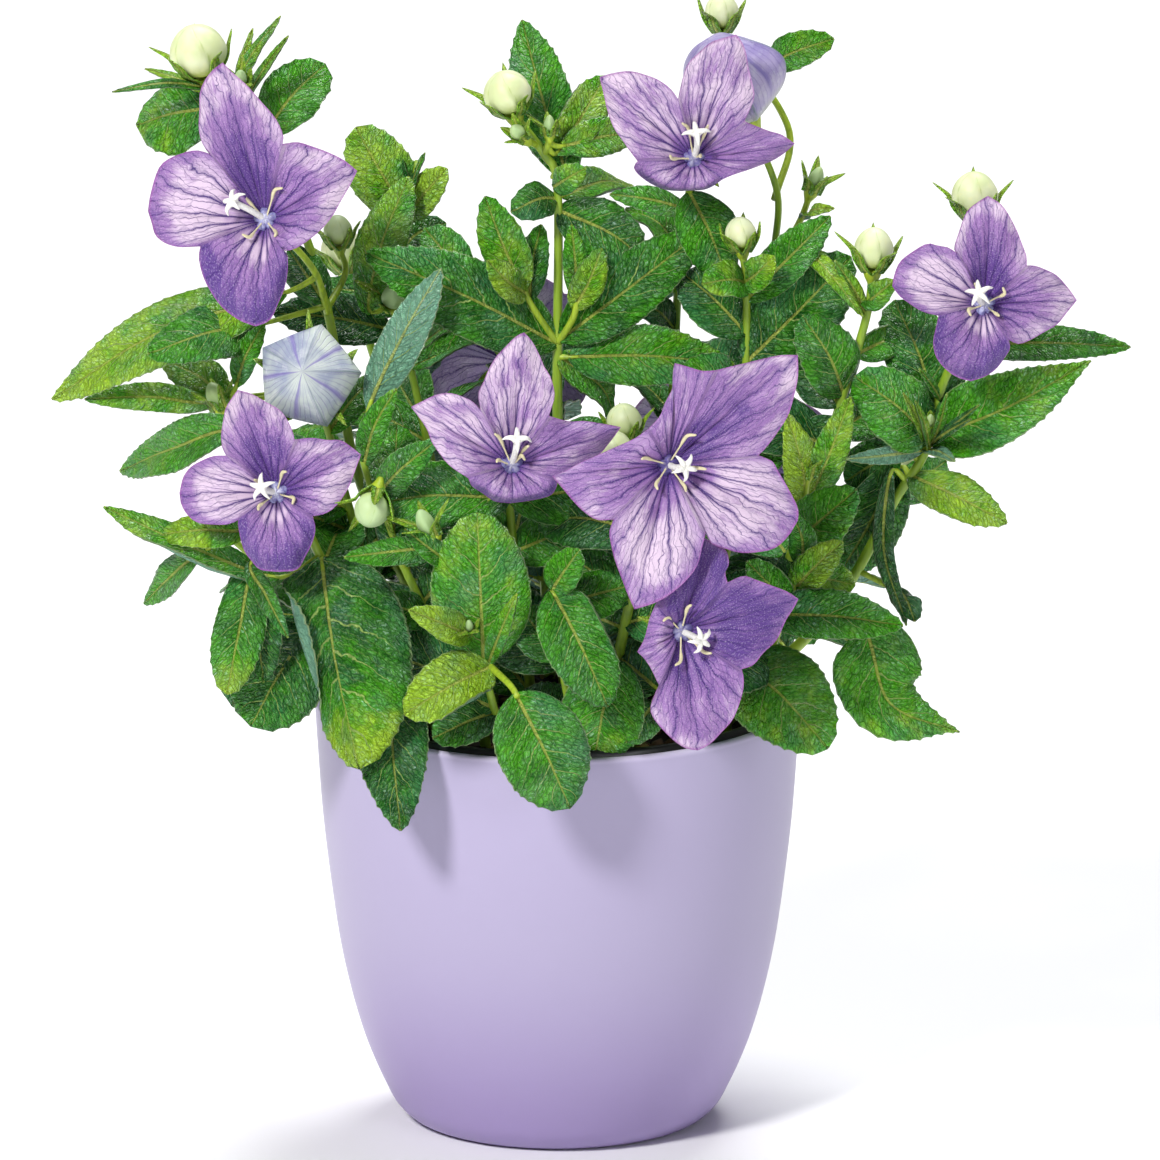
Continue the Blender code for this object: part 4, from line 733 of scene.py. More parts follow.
def path_at(curve, shares):
    """Points and directions at several shares of a curve's length."""
    reached = np.concatenate([[0], np.cumsum(np.linalg.norm(np.diff(curve, axis=0), axis=1))])
    want = np.asarray(shares) * reached[-1]
    slope = np.gradient(curve, reached, axis=0)
    spots = np.column_stack([np.interp(want, reached, curve[:, k]) for k in range(3)])
    ways = np.column_stack([np.interp(want, reached, slope[:, k]) for k in range(3)])
    return spots, ways / np.linalg.norm(ways, axis=1)[:, None]


def sheet_faces(rows, wide):
    """Faces of a thin sheet: a grid of points above, the same below, and the edge between."""
    count = (rows + 1) * wide
    faces = []
    for i in range(rows):
        for j in range(wide - 1):
            a = i * wide + j
            faces.append((a, a + 1, a + 1 + wide, a + wide))
            faces.append((count + a, count + a + wide, count + a + 1 + wide, count + a + 1))
    border = list(range(wide)) + [i * wide + wide - 1 for i in range(1, rows + 1)]
    border += [rows * wide + j for j in range(wide - 2, -1, -1)]
    border += [i * wide for i in range(rows - 1, 0, -1)]
    for a, b in zip(border, border[1:] + border[:1]):
        faces.append((b, a, count + a, count + b))
    return faces


def add_blade(heap, curve, stalk, width, roll, age, rng, looks):
    """A thin toothed leaf, folded along the midrib and quilted between its veins. Its looks may
    hold its fold, a paler tip, a sharper point, a margin turned over, or a half that grows slim."""
    length = length_of(curve) * (1 - stalk)
    blunt = min(max((width / length - 0.36) / 0.26, 0), 1)
    rows = 3 * int(min(max(length / TOOTH_GAP, 3), MOST_TEETH))
    facing, tip, slim = looks["facing"], looks.get("tip", 0.0), looks.get("slim", 0.0)
    half_columns = 6 if width >= 12 else (4 if width >= 6 else 3)
    reach_out = np.linspace(0, 1, half_columns + 1)
    fold = math.radians(rng.uniform(6, 28))
    droop = np.radians(rng.uniform(4, 38, 2))
    fold = math.radians(looks.get("fold", math.degrees(fold)))
    lap = np.zeros(2)
    if width > 8 and rng.uniform() < 0.22 and facing is None:
        lap[rng.integers(0, 2)] = math.radians(rng.uniform(50, 150))
    if "lap" in looks:
        lap[int(looks["lap"] > 0)] = math.radians(abs(looks["lap"]))
    ripple = rng.uniform(0.012, 0.060, 2) * width
    phase, beats = rng.uniform(0, math.tau, 2), rng.uniform(1.2, 2.8, 2)
    twist = rng.uniform(-12, 12)
    ageing = rng.uniform(-0.12, 0.34)
    number = float(rng.integers(1, 900))
    neck = 0.85 if width > 4 else 0.5
    shares = np.linspace(0, 1, rows + 1)
    spots, ways = path_at(curve, stalk + (1 - stalk) * shares)
    points, marks, grains = [], [], []
    steps = np.diff(reach_out)
    middles = (reach_out[1:] + reach_out[:-1]) / 2
    turn_over = np.clip((middles - 0.60 + 0.3 * abs(slim)) / 0.34, 0, 1)
    across = np.concatenate([-reach_out[::-1], reach_out[1:]])
    for i, share in enumerate(shares):
        normal = leaf_face(spots[i], roll + twist * share, ways[i], facing)
        side = np.cross(ways[i], normal)
        outline = width / 2 * leaf_outline(share, blunt, looks.get("sharp", 0.0))
        half = max(outline, neck * (1 - share) ** 0.5, 0.04)
        tooth = min(0.018 * width, 0.3) * rng.uniform(0.3, 1.3) if i % 3 == 1 and i > 3 else 0.0
        flanks = []
        for which, sign in ((0, -1), (1, 1)):
            this_half = half * (1 - (abs(slim) if slim * sign > 0 else 0.0) * min(share * 1.5, 1))
            lean = fold * (1 - 0.3 * share) - droop[which] * middles
            lean = lean + lap[which] * turn_over * math.sin(math.pi * min(share * 1.15, 1))
            flat = np.concatenate([[0], np.cumsum(np.cos(lean) * steps)]) * this_half
            rise = np.concatenate([[0], np.cumsum(np.sin(lean) * steps)]) * this_half
            flat[-1] += tooth
            wave = math.sin(math.tau * beats[which] * share + phase[which])
            rise = rise + ripple[which] * reach_out ** 2 * wave * math.sin(math.pi * share) ** 0.5
            vein = VEIN_PAIRS * (share - VEIN_SLANT * reach_out ** VEIN_BOW) + VEIN_STAGGER * sign
            quilt = np.abs(np.sin(math.pi * vein)) * reach_out ** 0.5 * (1 - reach_out ** 4)
            rise = rise + 0.050 * width * quilt
            run = spots[i] + np.outer(sign * flat, side) + np.outer(rise, normal)
            run[-1] += ways[i] * (0.45 if tooth else 0.0)
            flanks.append(run)
        points.append(np.vstack([flanks[0][::-1], flanks[1][1:]]))
        this_age = age + ageing * (share - 0.4) + tip * max(share - 0.62, 0) * 2.4
        marks += [(share, c, this_age) for c in across]
        grains += [(share * length + number, c * half) for c in across]
    grid = np.array(points)
    normals = np.cross(np.gradient(grid, axis=0), np.gradient(grid, axis=1)).reshape(-1, 3)
    lengths = np.linalg.norm(normals, axis=1)[:, None]
    normals = np.where(lengths > 1e-6, normals / np.maximum(lengths, 1e-9), 0)
    middle = leaf_face(spots[rows // 2], roll, ways[rows // 2], facing)
    if np.dot(normals[rows // 2 * len(across) + half_columns], middle) < 0:
        normals = -normals
    grid = grid.reshape(-1, 3)
    sheets = np.vstack([grid + normals * LEAF_THICK / 2, grid - normals * LEAF_THICK / 2])
    heap.add(sheets, sheet_faces(rows, len(across)), 1, marks + marks, both_sides(grains))
    if stalk > 0:
        foot = path_at(curve, np.append(np.linspace(0, stalk, 5), stalk + (1 - stalk) * 0.06))[0]
        add_tube(heap, foot, np.linspace(0.85, 0.55, 6), 7, 0, 0.75)


def squared(axis, beside=None):
    """The axis and two directions square to it, each one long."""
    axis = unit(np.array(axis, float))
    if beside is None:
        beside = (1.0, 0, 0) if abs(axis[0]) < 0.9 else (0, 1.0, 0)
    first = unit(np.cross(axis, beside))
    return axis, first, np.cross(axis, first)


def bud_points(place, axis, radius, length, point, columns=30, rows=18, lap=0.07, corners=0.0,
               spin=0.0):
    """A closed flower of five petals on its base: round with lapped petals, or five-cornered."""
    axis, first, second = squared(axis)
    points, marks = [], []
    for i in range(rows + 1):
        angle = math.pi * i / rows
        rise = (1 - math.cos(angle)) / 2
        taper = 1 - point * max(rise - 0.45, 0) ** 1.4
        for j in range(columns):
            turn = math.tau * j / columns
            petal = (5 * turn / math.tau + (0.35 * rise if lap else 0)) % 1.0
            seam = 1 - abs(petal - 0.5) * 2
            ring = radius * max(math.sin(angle), 0.015) * taper
            if lap:
                step = petal if petal < 0.9 else (1 - petal) * 9
                ring *= 1 + lap * (step - 0.5) - 0.03 * math.exp(-((1 - petal) / 0.06) ** 2)
            else:
                side = 0.809 / math.cos((petal - 0.5) * math.tau / 5)
                ring *= 1 + corners * (side / 0.88 - 1) + 0.02 * math.sin(math.pi * petal)
            points.append(place + spoke(first, second, turn + spin) * ring + axis * rise * length)
            marks.append((rise, seam, petal))
    return points, ring_faces(rows + 1, columns), marks


def add_calyx(heap, top, axis, size, sepal_length, spread, rng, hugs=None):
    """The green cup under a flower or bud, with five narrow sepals that hug a bud's sides."""
    axis, first, second = squared(axis)
    profile = [(0.34, -2.2), (0.55, -1.6), (0.86, -0.9), (1.04, -0.35), (1.0, -0.08), (0.6, -0.02)]
    points, marks, sides = [], [], 20
    for wide, low in profile:
        for j in range(sides):
            turn = math.tau * j / sides
            ribbed = wide * size * (1 + 0.09 * math.cos(10 * turn))
            points.append(top + spoke(first, second, turn) * ribbed + axis * low * size)
            marks.append((0, 0, 0.9))
    heap.add(points, ring_faces(len(profile), sides), 0, marks)
    if sepal_length < 1:
        return
    for k in range(5):
        out = spoke(first, second, math.radians(72 * k) + rng.uniform(-0.15, 0.15))
        reach_out = sepal_length * rng.uniform(0.8, 1.15)
        if hugs is None:
            lean = math.radians(spread + rng.uniform(-9, 9))
            way = out * math.cos(lean) + axis * math.sin(lean)
            tip = top + out * size * 0.5 + way * reach_out
            middle = (top + out * size * 0.8 + tip) / 2 + axis * 0.4
            line = [top + out * size * 0.8 - axis * 0.6, middle, tip]
        else:
            radius, high = hugs
            flare = reach_out * rng.uniform(0.05, 0.75)
            line = [top + out * size * 0.85 - axis * 0.7,
                    top + out * (radius * 0.80 + 0.45) + axis * (0.20 * high + 0.2),
                    top + out * (radius + 0.65) + axis * 0.46 * high,
                    top + out * (radius + 0.7 + flare) + axis * (0.46 * high + reach_out * 0.42)]
        broad = 1.7 + 0.13 * sepal_length + (0.9 if hugs else 0.0)
        add_sepal(heap, spline(line, 5), broad, axis, out)


def add_sepal(heap, curve, width, axis, out):
    """One narrow green blade, broad at its foot and keeled along its back."""
    rows, points, marks, grains = 10, [], [], []
    spots, ways = path_at(curve, np.linspace(0, 1, rows + 1))
    for i in range(rows + 1):
        share = i / rows
        side = unit(np.cross(ways[i], out + axis * 0.3))
        normal = np.cross(side, ways[i])
        half = width / 2 * (1 - share) ** 0.75 * (0.9 + 0.5 * share) + 0.04
        for c in (-1, 0, 1):
            points.append(spots[i] + side * c * half + normal * 0.25 * abs(c) * half)
            marks.append((share, c * 0.8, 0.72))
            grains.append((share * 9 + 3, c * half))
    lift = [p + unit(out) * 0.2 for p in points] + [p - unit(out) * 0.2 for p in points]
    spans = [(g[0], g[1], 0.0) for g in grains] * 2
    heap.add(lift, sheet_faces(rows, 3), 1, marks + marks, spans)


CLOSED_BUDS = []
LEAFY_HEIGHT = (95, 120, 150, 180, 192, 198, 232)
LEAFY_REACH = (46, 66, 74, 70, 56, 0, 0)
FLOWERS = {
    "upper_left": ((-72.4, 223, -26), (-0.12, -0.95, 0.3)),
    "left": ((-69.8, 155, -50), (-0.08, -0.95, 0.3)),
    "front_centre": ((-11.5, 162, -60), (0.05, -0.97, 0.22)),
    "front_large": ((27.4, 162, -74), (0.06, -0.95, 0.3)),
    "front_low": ((30.5, 121, -80), (0.1, -0.96, 0.15)),
    "top_right": ((34, 238.5, -14), (0.0, -0.98, 0.15)),
    "right": ((106, 202, -24), (0.12, -0.95, 0.28)),
    "back_centre": ((-12, 188, 72), (-0.1, 0.85, 0.5)),
    "back_right": ((44, 164, 74), (0.3, 0.85, 0.42)),
}
PETAL_THICK = 0.7
CALYX = 2.3


def flower_seat(name):
    """Where the calyx cup of a flower ends, just behind its petals."""
    throat, look = FLOWERS[name]
    look = unit(np.array(look, float))
    return seen(*throat) - look * (PETAL_THICK / 2 + CLEAR), look, CALYX, 9.0, -18


def leaf_age(height, width):
    """0 for an old dark leaf to 1 for a young lime one, which is small and high up."""
    return min(max(0.52 - 0.015 * width + 0.0025 * (height - 150), 0.1), 0.9)


def inner_leaves(curve, rng):
    """Pairs of leaves up the shaded part of a stem, kept inside the plant's outline."""
    rows = []
    top = length_of(curve)
    reached, turn = 26.0, rng.uniform(0, math.tau)
    while reached < top * 0.86:
        root, _ = along(curve, reached / top)
        for half_turn in (0, math.pi):
            angle = turn + half_turn + rng.uniform(-0.3, 0.3)
            length = rng.uniform(23, 36)
            tip = root + np.array((math.cos(angle), math.sin(angle), rng.uniform(-0.1, 0.35))) * length
            limit = np.interp(view_height(tip), LEAFY_HEIGHT, LEAFY_REACH)
            shy = root[1] < 20 and tip[1] < root[1] + 2
            if abs(tip[0]) < limit and not shy and tip[2] > SOIL_TOP + 9:
                base = root + (tip - root) * 0.06
                rows.append(leaf(base[0], view_height(base), tip[0], view_height(tip), tip[1],
                                 length * rng.uniform(0.46, 0.62), roll=rng.uniform(-14, 14),
                                 bow=rng.uniform(2, 6), tone=rng.uniform(0.0, 0.4)))
        turn += 1.9
        reached += rng.uniform(12, 17)
    return rows


def grow_stem(name, number, foot, radius, route, leaves, ends=(), shoots=(), bloom=None, turn=None):
    """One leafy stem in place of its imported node: stalk, shoots, calyx cups and leaves. An end is
    (kind, name, place, axis, radius, length, sepal length, sepal spread). A stem with a turn is at
    the back: its places are real ones, and its leaves a number of leaves set round it."""
    looks = np.random.default_rng(500 + number)
    back = turn is not None
    route = [np.array(p, float) if back else seen(*p) for p in route]
    cups = []

    def end_in_flower(points, bloom):
        cups.append((*flower_seat(bloom), None))
        points.append(cups[-1][0] - cups[-1][1] * CALYX * 1.3)

    def end_closed(points, sink, kind, label, place, axis, radius, length, sepals, spread):
        axis = unit(np.array(axis, float))
        cups.append((place, axis, min(CALYX, radius * 0.45), sepals, spread, (radius, length)))
        CLOSED_BUDS.append((kind, label, place + axis * CLEAR, axis, radius, length))
        points[-1] = place - axis * sink

    if bloom:
        end_in_flower(route, bloom)
    for kind, label, place, *form in ends:
        place = np.array(place, float) if back else seen(*place)
        end_closed(route, 1.5, kind, label, place, *form)
    below = np.array((*foot, SOIL_TOP - STEM_SINK + CLEAR))
    route = [np.array((*foot, SOIL_TOP + 1.0)), *route]
    fine = evened(np.vstack([[below], evened(spline(route, 8), 14.0)]), 1.5)
    smooth_run = evened(np.vstack([[below], spline(route, 10)]), 2.2)
    heap = Heap()
    add_tube(heap, smooth_run, np.linspace(*radius, len(smooth_run)), 12, 0, 0.35)
    curves = [fine[:-2]]
    for shoot in shoots:
        points = [seen(*p) for p in shoot["route"]]
        if "bloom" in shoot:
            end_in_flower(points, shoot["bloom"])
        way = unit(points[-1] - points[-2])
        if "bud" in shoot:
            label, *form = shoot["bud"]
            end_closed(points, 1.2, "bud", label, points[-1], *form)
        if "small" in shoot:
            wide, length = shoot["small"]
            made = bud_points(points[-1] - way * 0.6, way, wide * 0.85, length + 1.0, 0.55, 25, 12)
            heap.add(made[0], made[1], 2, made[2], [(1, 0, 0)] * len(made[0]))
            cups.append((points[-1], way, wide * 0.85, length * 1.3, 58, (wide * 0.85, length)))
        points[0] = fine[int(np.argmin([np.linalg.norm(p - points[0]) for p in fine]))]
        line = evened(spline(points, 8), 1.8)
        add_tube(heap, line, np.linspace(0.95, 0.78, len(line)), 9, 0, 0.75)
        curves.append(evened(evened(line, 9.0), 1.5)[:-1])
    for place, axis, size, sepals, spread, hugs in cups:
        add_calyx(heap, place, axis, size, sepals, spread, looks, hugs)
    stems = np.vstack(curves)
    if back:
        leaves = round_leaves(fine, leaves, turn, np.random.default_rng(100 + number))
    for row in leaves + inner_leaves(fine, looks):
        curve, stalk = leaf_line(stems, row)
        _, height, _, _, _, width, roll, _, own = row
        tone = leaf_age(height, width) if own["tone"] is None else own["tone"]
        tone += looks.uniform(-0.12, 0.14)
        add_blade(heap, curve, stalk, width * 1.05, roll, tone, looks, own)
    plant = heap.made(name.replace("stem", "stalk"), [stalk_finish, leaf_finish, bud_finish])
    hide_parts(name)
    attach(plant, "root")


# Stems at the left
# Five stalks that lean out over the left rim. They carry the two left flowers, the pale balloon,
# three buds, and the longest drooping leaves, which hang over the lilac wall.

grow_stem(
    "stem_upper_left", 0, foot=(-22, -2), radius=(1.5, 1.0),
    route=[(-34, 125, -8), (-50, 160, -8), (-57, 199, -4), (-64, 222, 4), (-74, 243, 8), (-84, 254, 7),
           (-88, 259, 6)],
    ends=[("bud", "bud_upper_left", (-88, 259, 6), (-0.25, -0.1, 1), 7.2, 13.5, 8, 12)],
    shoots=[
        dict(route=[(-57, 199, -4), (-61, 211, -12)], bloom="upper_left"),
        dict(route=[(-57, 201, -3), (-53, 210, 8), (-54.5, 217, 10)],
             bud=("bud_behind", (-0.1, 0, 1), 3.6, 7.5, 5, 26)),
        dict(route=[(-80, 251, 8), (-79, 255, 2), (-79, 257, 0)], small=(1.9, 5)),
    ],
    leaves=[
        leaf(-87, 251.3, -104.8, 246.8, 12, 20, 2, facing=0.95, fold=3),
        leaf(-72.5, 245.5, -58, 262, 16, 15, 2, facing=0.8, fold=14),
        leaf(-82, 254, -69, 274, 8, 4.2, 1), leaf(-80, 252, -76, 271, 15, 3.2, 1),
        leaf(-79, 250, -67, 269, 0, 3.2, 1), leaf(-85, 256, -111, 255, -2, 2.6, tone=0.2),
        leaf(-84, 254, -103, 261, 18, 3, 1), leaf(-68, 205, -126, 178.5, -2, 17, 9, 0.8, 0.6, fold=10),
        leaf(-75, 197, -102, 189.5, -26, 15, 3, 0.9, 0.33, fold=5),
        leaf(-85, 177.5, -118, 178.5, -6, 7.5, 3, 0.8, 0.78),
        leaf(-80, 179, -98.5, 188.5, 2, 10.5, 2, 0.8, 0.58),
        leaf(-58, 203, -67, 216, 4, 10, 2, 0.9, 0.3),
    ])
grow_stem(
    "stem_left_back", 1, foot=(-16, 12), radius=(1.4, 0.7),
    route=[(-24, 130, 14), (-33, 170, 16), (-40, 205, 16), (-37, 226, 14), (-35, 238, 12)],
    shoots=[dict(route=[(-40, 198, 16), (-41, 202, 4), (-41, 203, 2)], small=(3.6, 6))],
    leaves=[
        leaf(-37.5, 224.5, -50.3, 246.4, 16, 16, 2, 0.8, 0.78, fold=12),
        leaf(-36, 224, -27.5, 236, 8, 9.5, 2, 0.9, 0.8), leaf(-47, 201, -37, 234, 6, 14, 3, 0.7, 0.58),
        leaf(-36, 229, -33, 240, 10, 3.6, 1, tone=0.2),
        leaf(-37, 229, -39.5, 242, 14, 4.4, 1, tone=0.1),
        leaf(-41, 217, -28, 222.5, 22, 8, 1, 0.9, 0.4), leaf(-36, 190, -21, 200, 8, 7, 1),
        leaf(-38, 200, -62, 206, 24, 12), leaf(-42, 196, -71, 200, 12, 13, 3, 0.9, 0.15),
        leaf(-32, 168, -58, 176, 22, 14), leaf(-33, 172, -12, 184, 20, 14),
    ])
grow_stem(
    "stem_left", 2, foot=(-30, -20), radius=(1.6, 1.0), bloom="left",
    route=[(-40, 108, -28), (-51, 124, -34), (-59, 139, -36), (-62, 145, -37)],
    leaves=[
        leaf(-58.5, 137, -49.5, 86.5, -64, 37, 9, 0.95, 0.3, fold=8, lap=150, slim=0.55, tip=0.9),
        leaf(-41, 107, -39, 71, -70, 18, 6, 0.9, 0.12),
        leaf(-89, 140, -103, 127.5, -26, 8.5, 1, 0.9, 0.3),
        leaf(-70, 134, -113, 151.5, -44, 10, 5, 0.9, 0.5, roll=20, lap=-140, bend=3.5),
        leaf(-79, 170, -109, 160.5, -8, 12.5, 3, 0.85, 0.55, fold=16),
        leaf(-64, 122, -81, 102, -40, 18, 2, 0.9, 0.0),
        leaf(-75, 137, -82.3, 105, -52, 12.5, 2, 0.9, 0.42, tip=0.6, sharp=-0.35),
        leaf(-61, 121.5, -76.3, 97, -45, 24, 3, 0.9, 0.05),
        leaf(-76, 137, -73, 108, -46, 14, 2, 0.9, 0.15),
        leaf(-77, 146, -100, 144.5, -44, 9, 2, 0.9, 0.6), leaf(-76, 138, -67, 119, -57, 5, 3, 0.6, 0.1),
    ])
grow_stem(
    "stem_balloon_left", 3, foot=(-32, -6), radius=(1.5, 0.9),
    route=[(-42, 120, -12), (-51, 148, -18), (-57, 170, -22), (-60, 180, -24)],
    ends=[("balloon", "balloon_left", (-61, 183, -27), (-0.12, -0.92, 0.36), 11.5, 20, 9, 30)],
    shoots=[
        dict(route=[(-52, 152, -18), (-74, 166, -12), (-83, 175, -12), (-84, 177, -12)],
             small=(3.0, 6)),
    ],
    leaves=[
        leaf(-80, 182, -73, 197.5, -16, 6.5, 2, 0.9, 0.4), leaf(-54, 158, -82, 168, -2, 13),
        leaf(-52, 152, -76, 152, 2, 14), leaf(-48, 140, -34, 152, -18, 12),
        leaf(-57, 170, -46, 184, -18, 8, 2),
    ])
grow_stem(
    "stem_left_centre", 4, foot=(-18, -30), radius=(1.5, 0.8),
    route=[(-26, 112, -36), (-37, 134, -42), (-45, 152, -42), (-49, 165, -38)],
    shoots=[
        dict(route=[(-38, 136, -42), (-43, 150, -50), (-45, 155, -52)],
             bud=("bud_left_centre", (-0.2, -0.5, -0.6), 4.4, 9, 8, 10)),
    ],
    leaves=[
        leaf(-47, 176, -29, 211, -22, 11.5, roll=180, facing=0.9), leaf(-49, 164, -40, 181, -46, 7, 2),
        leaf(-40, 144, -40, 172, -28, 15), leaf(-38, 137, -24, 160, -34, 14),
        leaf(-34, 128, -20, 142, -34, 11), leaf(-32, 124, -46, 128, -48, 9, 2),
        leaf(-46, 154, -30, 168, -54, 9, 2),
    ])


# Stems in the middle
# The tallest upright stalks, from the middle of the root ball, with whorls of leaves below the
# top flower and its buds.

grow_stem(
    "stem_centre", 0, foot=(2, 2), radius=(1.7, 1.0),
    route=[(1, 130, 0), (0, 175, -6), (0, 192, -6), (0, 231, -6), (-3, 239, -6), (-9, 247, -6),
           (-11, 250, -6)],
    ends=[("bud", "bud_centre_top", (-11, 250, -6), (-0.3, -0.2, 1), 6.0, 11, 8, 20)],
    shoots=[
        dict(route=[(0, 193, -6), (-6, 201, -10), (-9, 207, -10)]),
        dict(route=[(0, 193, -6), (4, 199, -10), (5, 205, -10)]),
        dict(route=[(-5, 242, -6), (-8, 243, -12), (-9, 244, -13)], small=(2.2, 4)),
        dict(route=[(-3, 239, -6), (-2, 243, -8), (-2, 245, -8)], small=(1.7, 4)),
    ],
    leaves=[
        leaf(2, 234, -8.8, 273, 15, 15, 3, 0.7, 0.35), leaf(0, 240, 12, 259, 8, 11, 2),
        leaf(1, 241.5, 19.5, 245, 4, 9.5, 2, 0.9, 0.55),
        leaf(0, 229, -11.5, 225, -14, 9.5, 3, 0.8, 0.3), leaf(1, 232, 7, 236, -13, 7, 2),
        leaf(1, 225, 22, 213, -4, 15, 4, 0.8, 0.2), leaf(1, 229, 18, 232, 20, 11),
        leaf(-1, 192, -48, 215, -12, 19, 8, 0.8, 0.35, fold=10),
        leaf(2, 193, 37, 221, -2, 16, 6, 0.8, 0.3),
        leaf(3, 189, 44, 187, -16, 15, 4, 0.85, 0.38, fold=14),
        leaf(-9, 206, -18, 229, -8, 11.5, 2, 0.9, 0.72), leaf(-8, 203, -4, 222, -6, 8, 1, 0.9, 0.2),
        leaf(-9, 204, -17.5, 213, -23, 8, 2, 0.9, 0.8), leaf(5, 204, 3.5, 222, -10, 6, 1, tone=0.6),
        leaf(5, 201, 11, 216, -12, 8, 2, 0.9, 0.85), leaf(1, 189, 14, 174, 4, 12, 4),
        leaf(0, 170, 18, 160, 6, 14, 4), leaf(-22, 208, -33, 221, -2, 11, 2, 0.9, 0.4),
    ])
grow_stem(
    "stem_top_right", 1, foot=(16, 6), radius=(1.5, 0.9), bloom="top_right",
    route=[(22, 130, 8), (28, 170, 8), (30, 205, 8), (32, 224, 4)],
    leaves=[
        leaf(31, 230, 42, 209, -6, 15, 4, 0.9, 0.25), leaf(31, 214, 17, 226, 14, 13),
        leaf(30, 206, 16, 200, 18, 13), leaf(28, 175, 12, 184, 20, 13),
        leaf(31, 226, 13, 229.5, -4, 7, 2, 0.9, 0.4), leaf(30, 196, 18, 204, 2, 9, 2, 0.9, 0.2),
    ])
grow_stem(
    "stem_right_bud", 2, foot=(26, -8), radius=(1.4, 0.9),
    route=[(36, 130, -10), (45, 165, -12), (47, 189, -12), (47, 207, -14), (46, 216, -14)],
    ends=[("bud", "bud_right_small", (46, 216, -14), (-0.1, -0.1, 1), 3.9, 8, 7, 45)],
    leaves=[
        leaf(47, 208, 36, 207, -24, 10, 2, 0.9, 0.62), leaf(47, 207, 54, 214, -22, 8, 2),
        leaf(47, 203, 68, 224, -8, 11, 3, 0.8, 0.5), leaf(47, 187, 73, 214, -6, 20, 5, 0.8, 0.3),
        leaf(46, 180, 31, 186, -24, 13), leaf(44, 160, 60, 172, -20, 12),
        leaf(46, 194, 31, 210, -6, 15, 3, 0.8, 0.2),
    ])
grow_stem(
    "stem_balloon_right", 3, foot=(30, 14), radius=(1.5, 0.8),
    route=[(42, 140, 14), (51, 190, 12), (54, 215, 10), (55, 229, 8), (51, 241, 8), (48, 249, 8)],
    ends=[("balloon", "balloon_right", (48, 249, 8), (-0.42, -0.25, 0.86), 12.5, 24, 0, 0)],
    shoots=[
        dict(route=[(55, 229, 8), (58, 245, 22), (48, 262, 28), (41, 271, 26)],
             bud=("bud_top_edge", (0, 0, 1), 4.2, 9, 8, 55)),
        dict(route=[(54, 213, 10), (60, 222, 4), (63.5, 231, 2)], small=(2.2, 6)),
    ],
    leaves=[
        leaf(53, 262, 69, 268.5, 20, 9.5, 2, 0.9, 0.4), leaf(60, 224, 69, 226, -6, 3.4, 1),
        leaf(54, 216, 76, 199, -24, 5.5, 8), leaf(52, 200, 70, 186, 22, 14, 4),
    ])


# Stems at the right
# Stalks that lean out to the right, under the far flower, with buds on side shoots and broad
# leaves that pass in front of the nursery pot's rim.

grow_stem(
    "stem_right_inner", 0, foot=(34, -12), radius=(1.7, 1.0),
    route=[(50, 120, -18), (62, 150, -20), (71, 179, -18), (77, 199, -16), (78, 209, -16)],
    ends=[("bud", "bud_right", (78.5, 211, -16), (0.05, -0.1, 1), 4.9, 10.5, 8, 42)],
    shoots=[dict(route=[(62, 149, -20), (62, 156, -26), (62.5, 160, -27)], small=(1.9, 7))],
    leaves=[
        leaf(77, 202, 84, 208, -24, 6.5, 2), leaf(77, 200, 69, 213, -16, 4, 1),
        leaf(71, 180, 61, 199, -20, 15, 4), leaf(62, 151, 57, 175, -32, 10, 3, 0.9, 0.8),
        leaf(60, 143, 74.5, 156, -36, 14, 3, 0.9, 0.48), leaf(68, 170, 84, 178, 0, 13),
        leaf(74, 190, 86, 194, -4, 9, 2), leaf(57, 138, 72, 140, -6, 13),
        leaf(62, 152, 73, 179, -28, 9, 3, 0.9, 0.6), leaf(70, 174, 60, 160, -8, 15, 3, 0.9, 0.05),
        leaf(69, 177, 60, 188, -8, 14, 3, 0.9, 0.05),
    ])
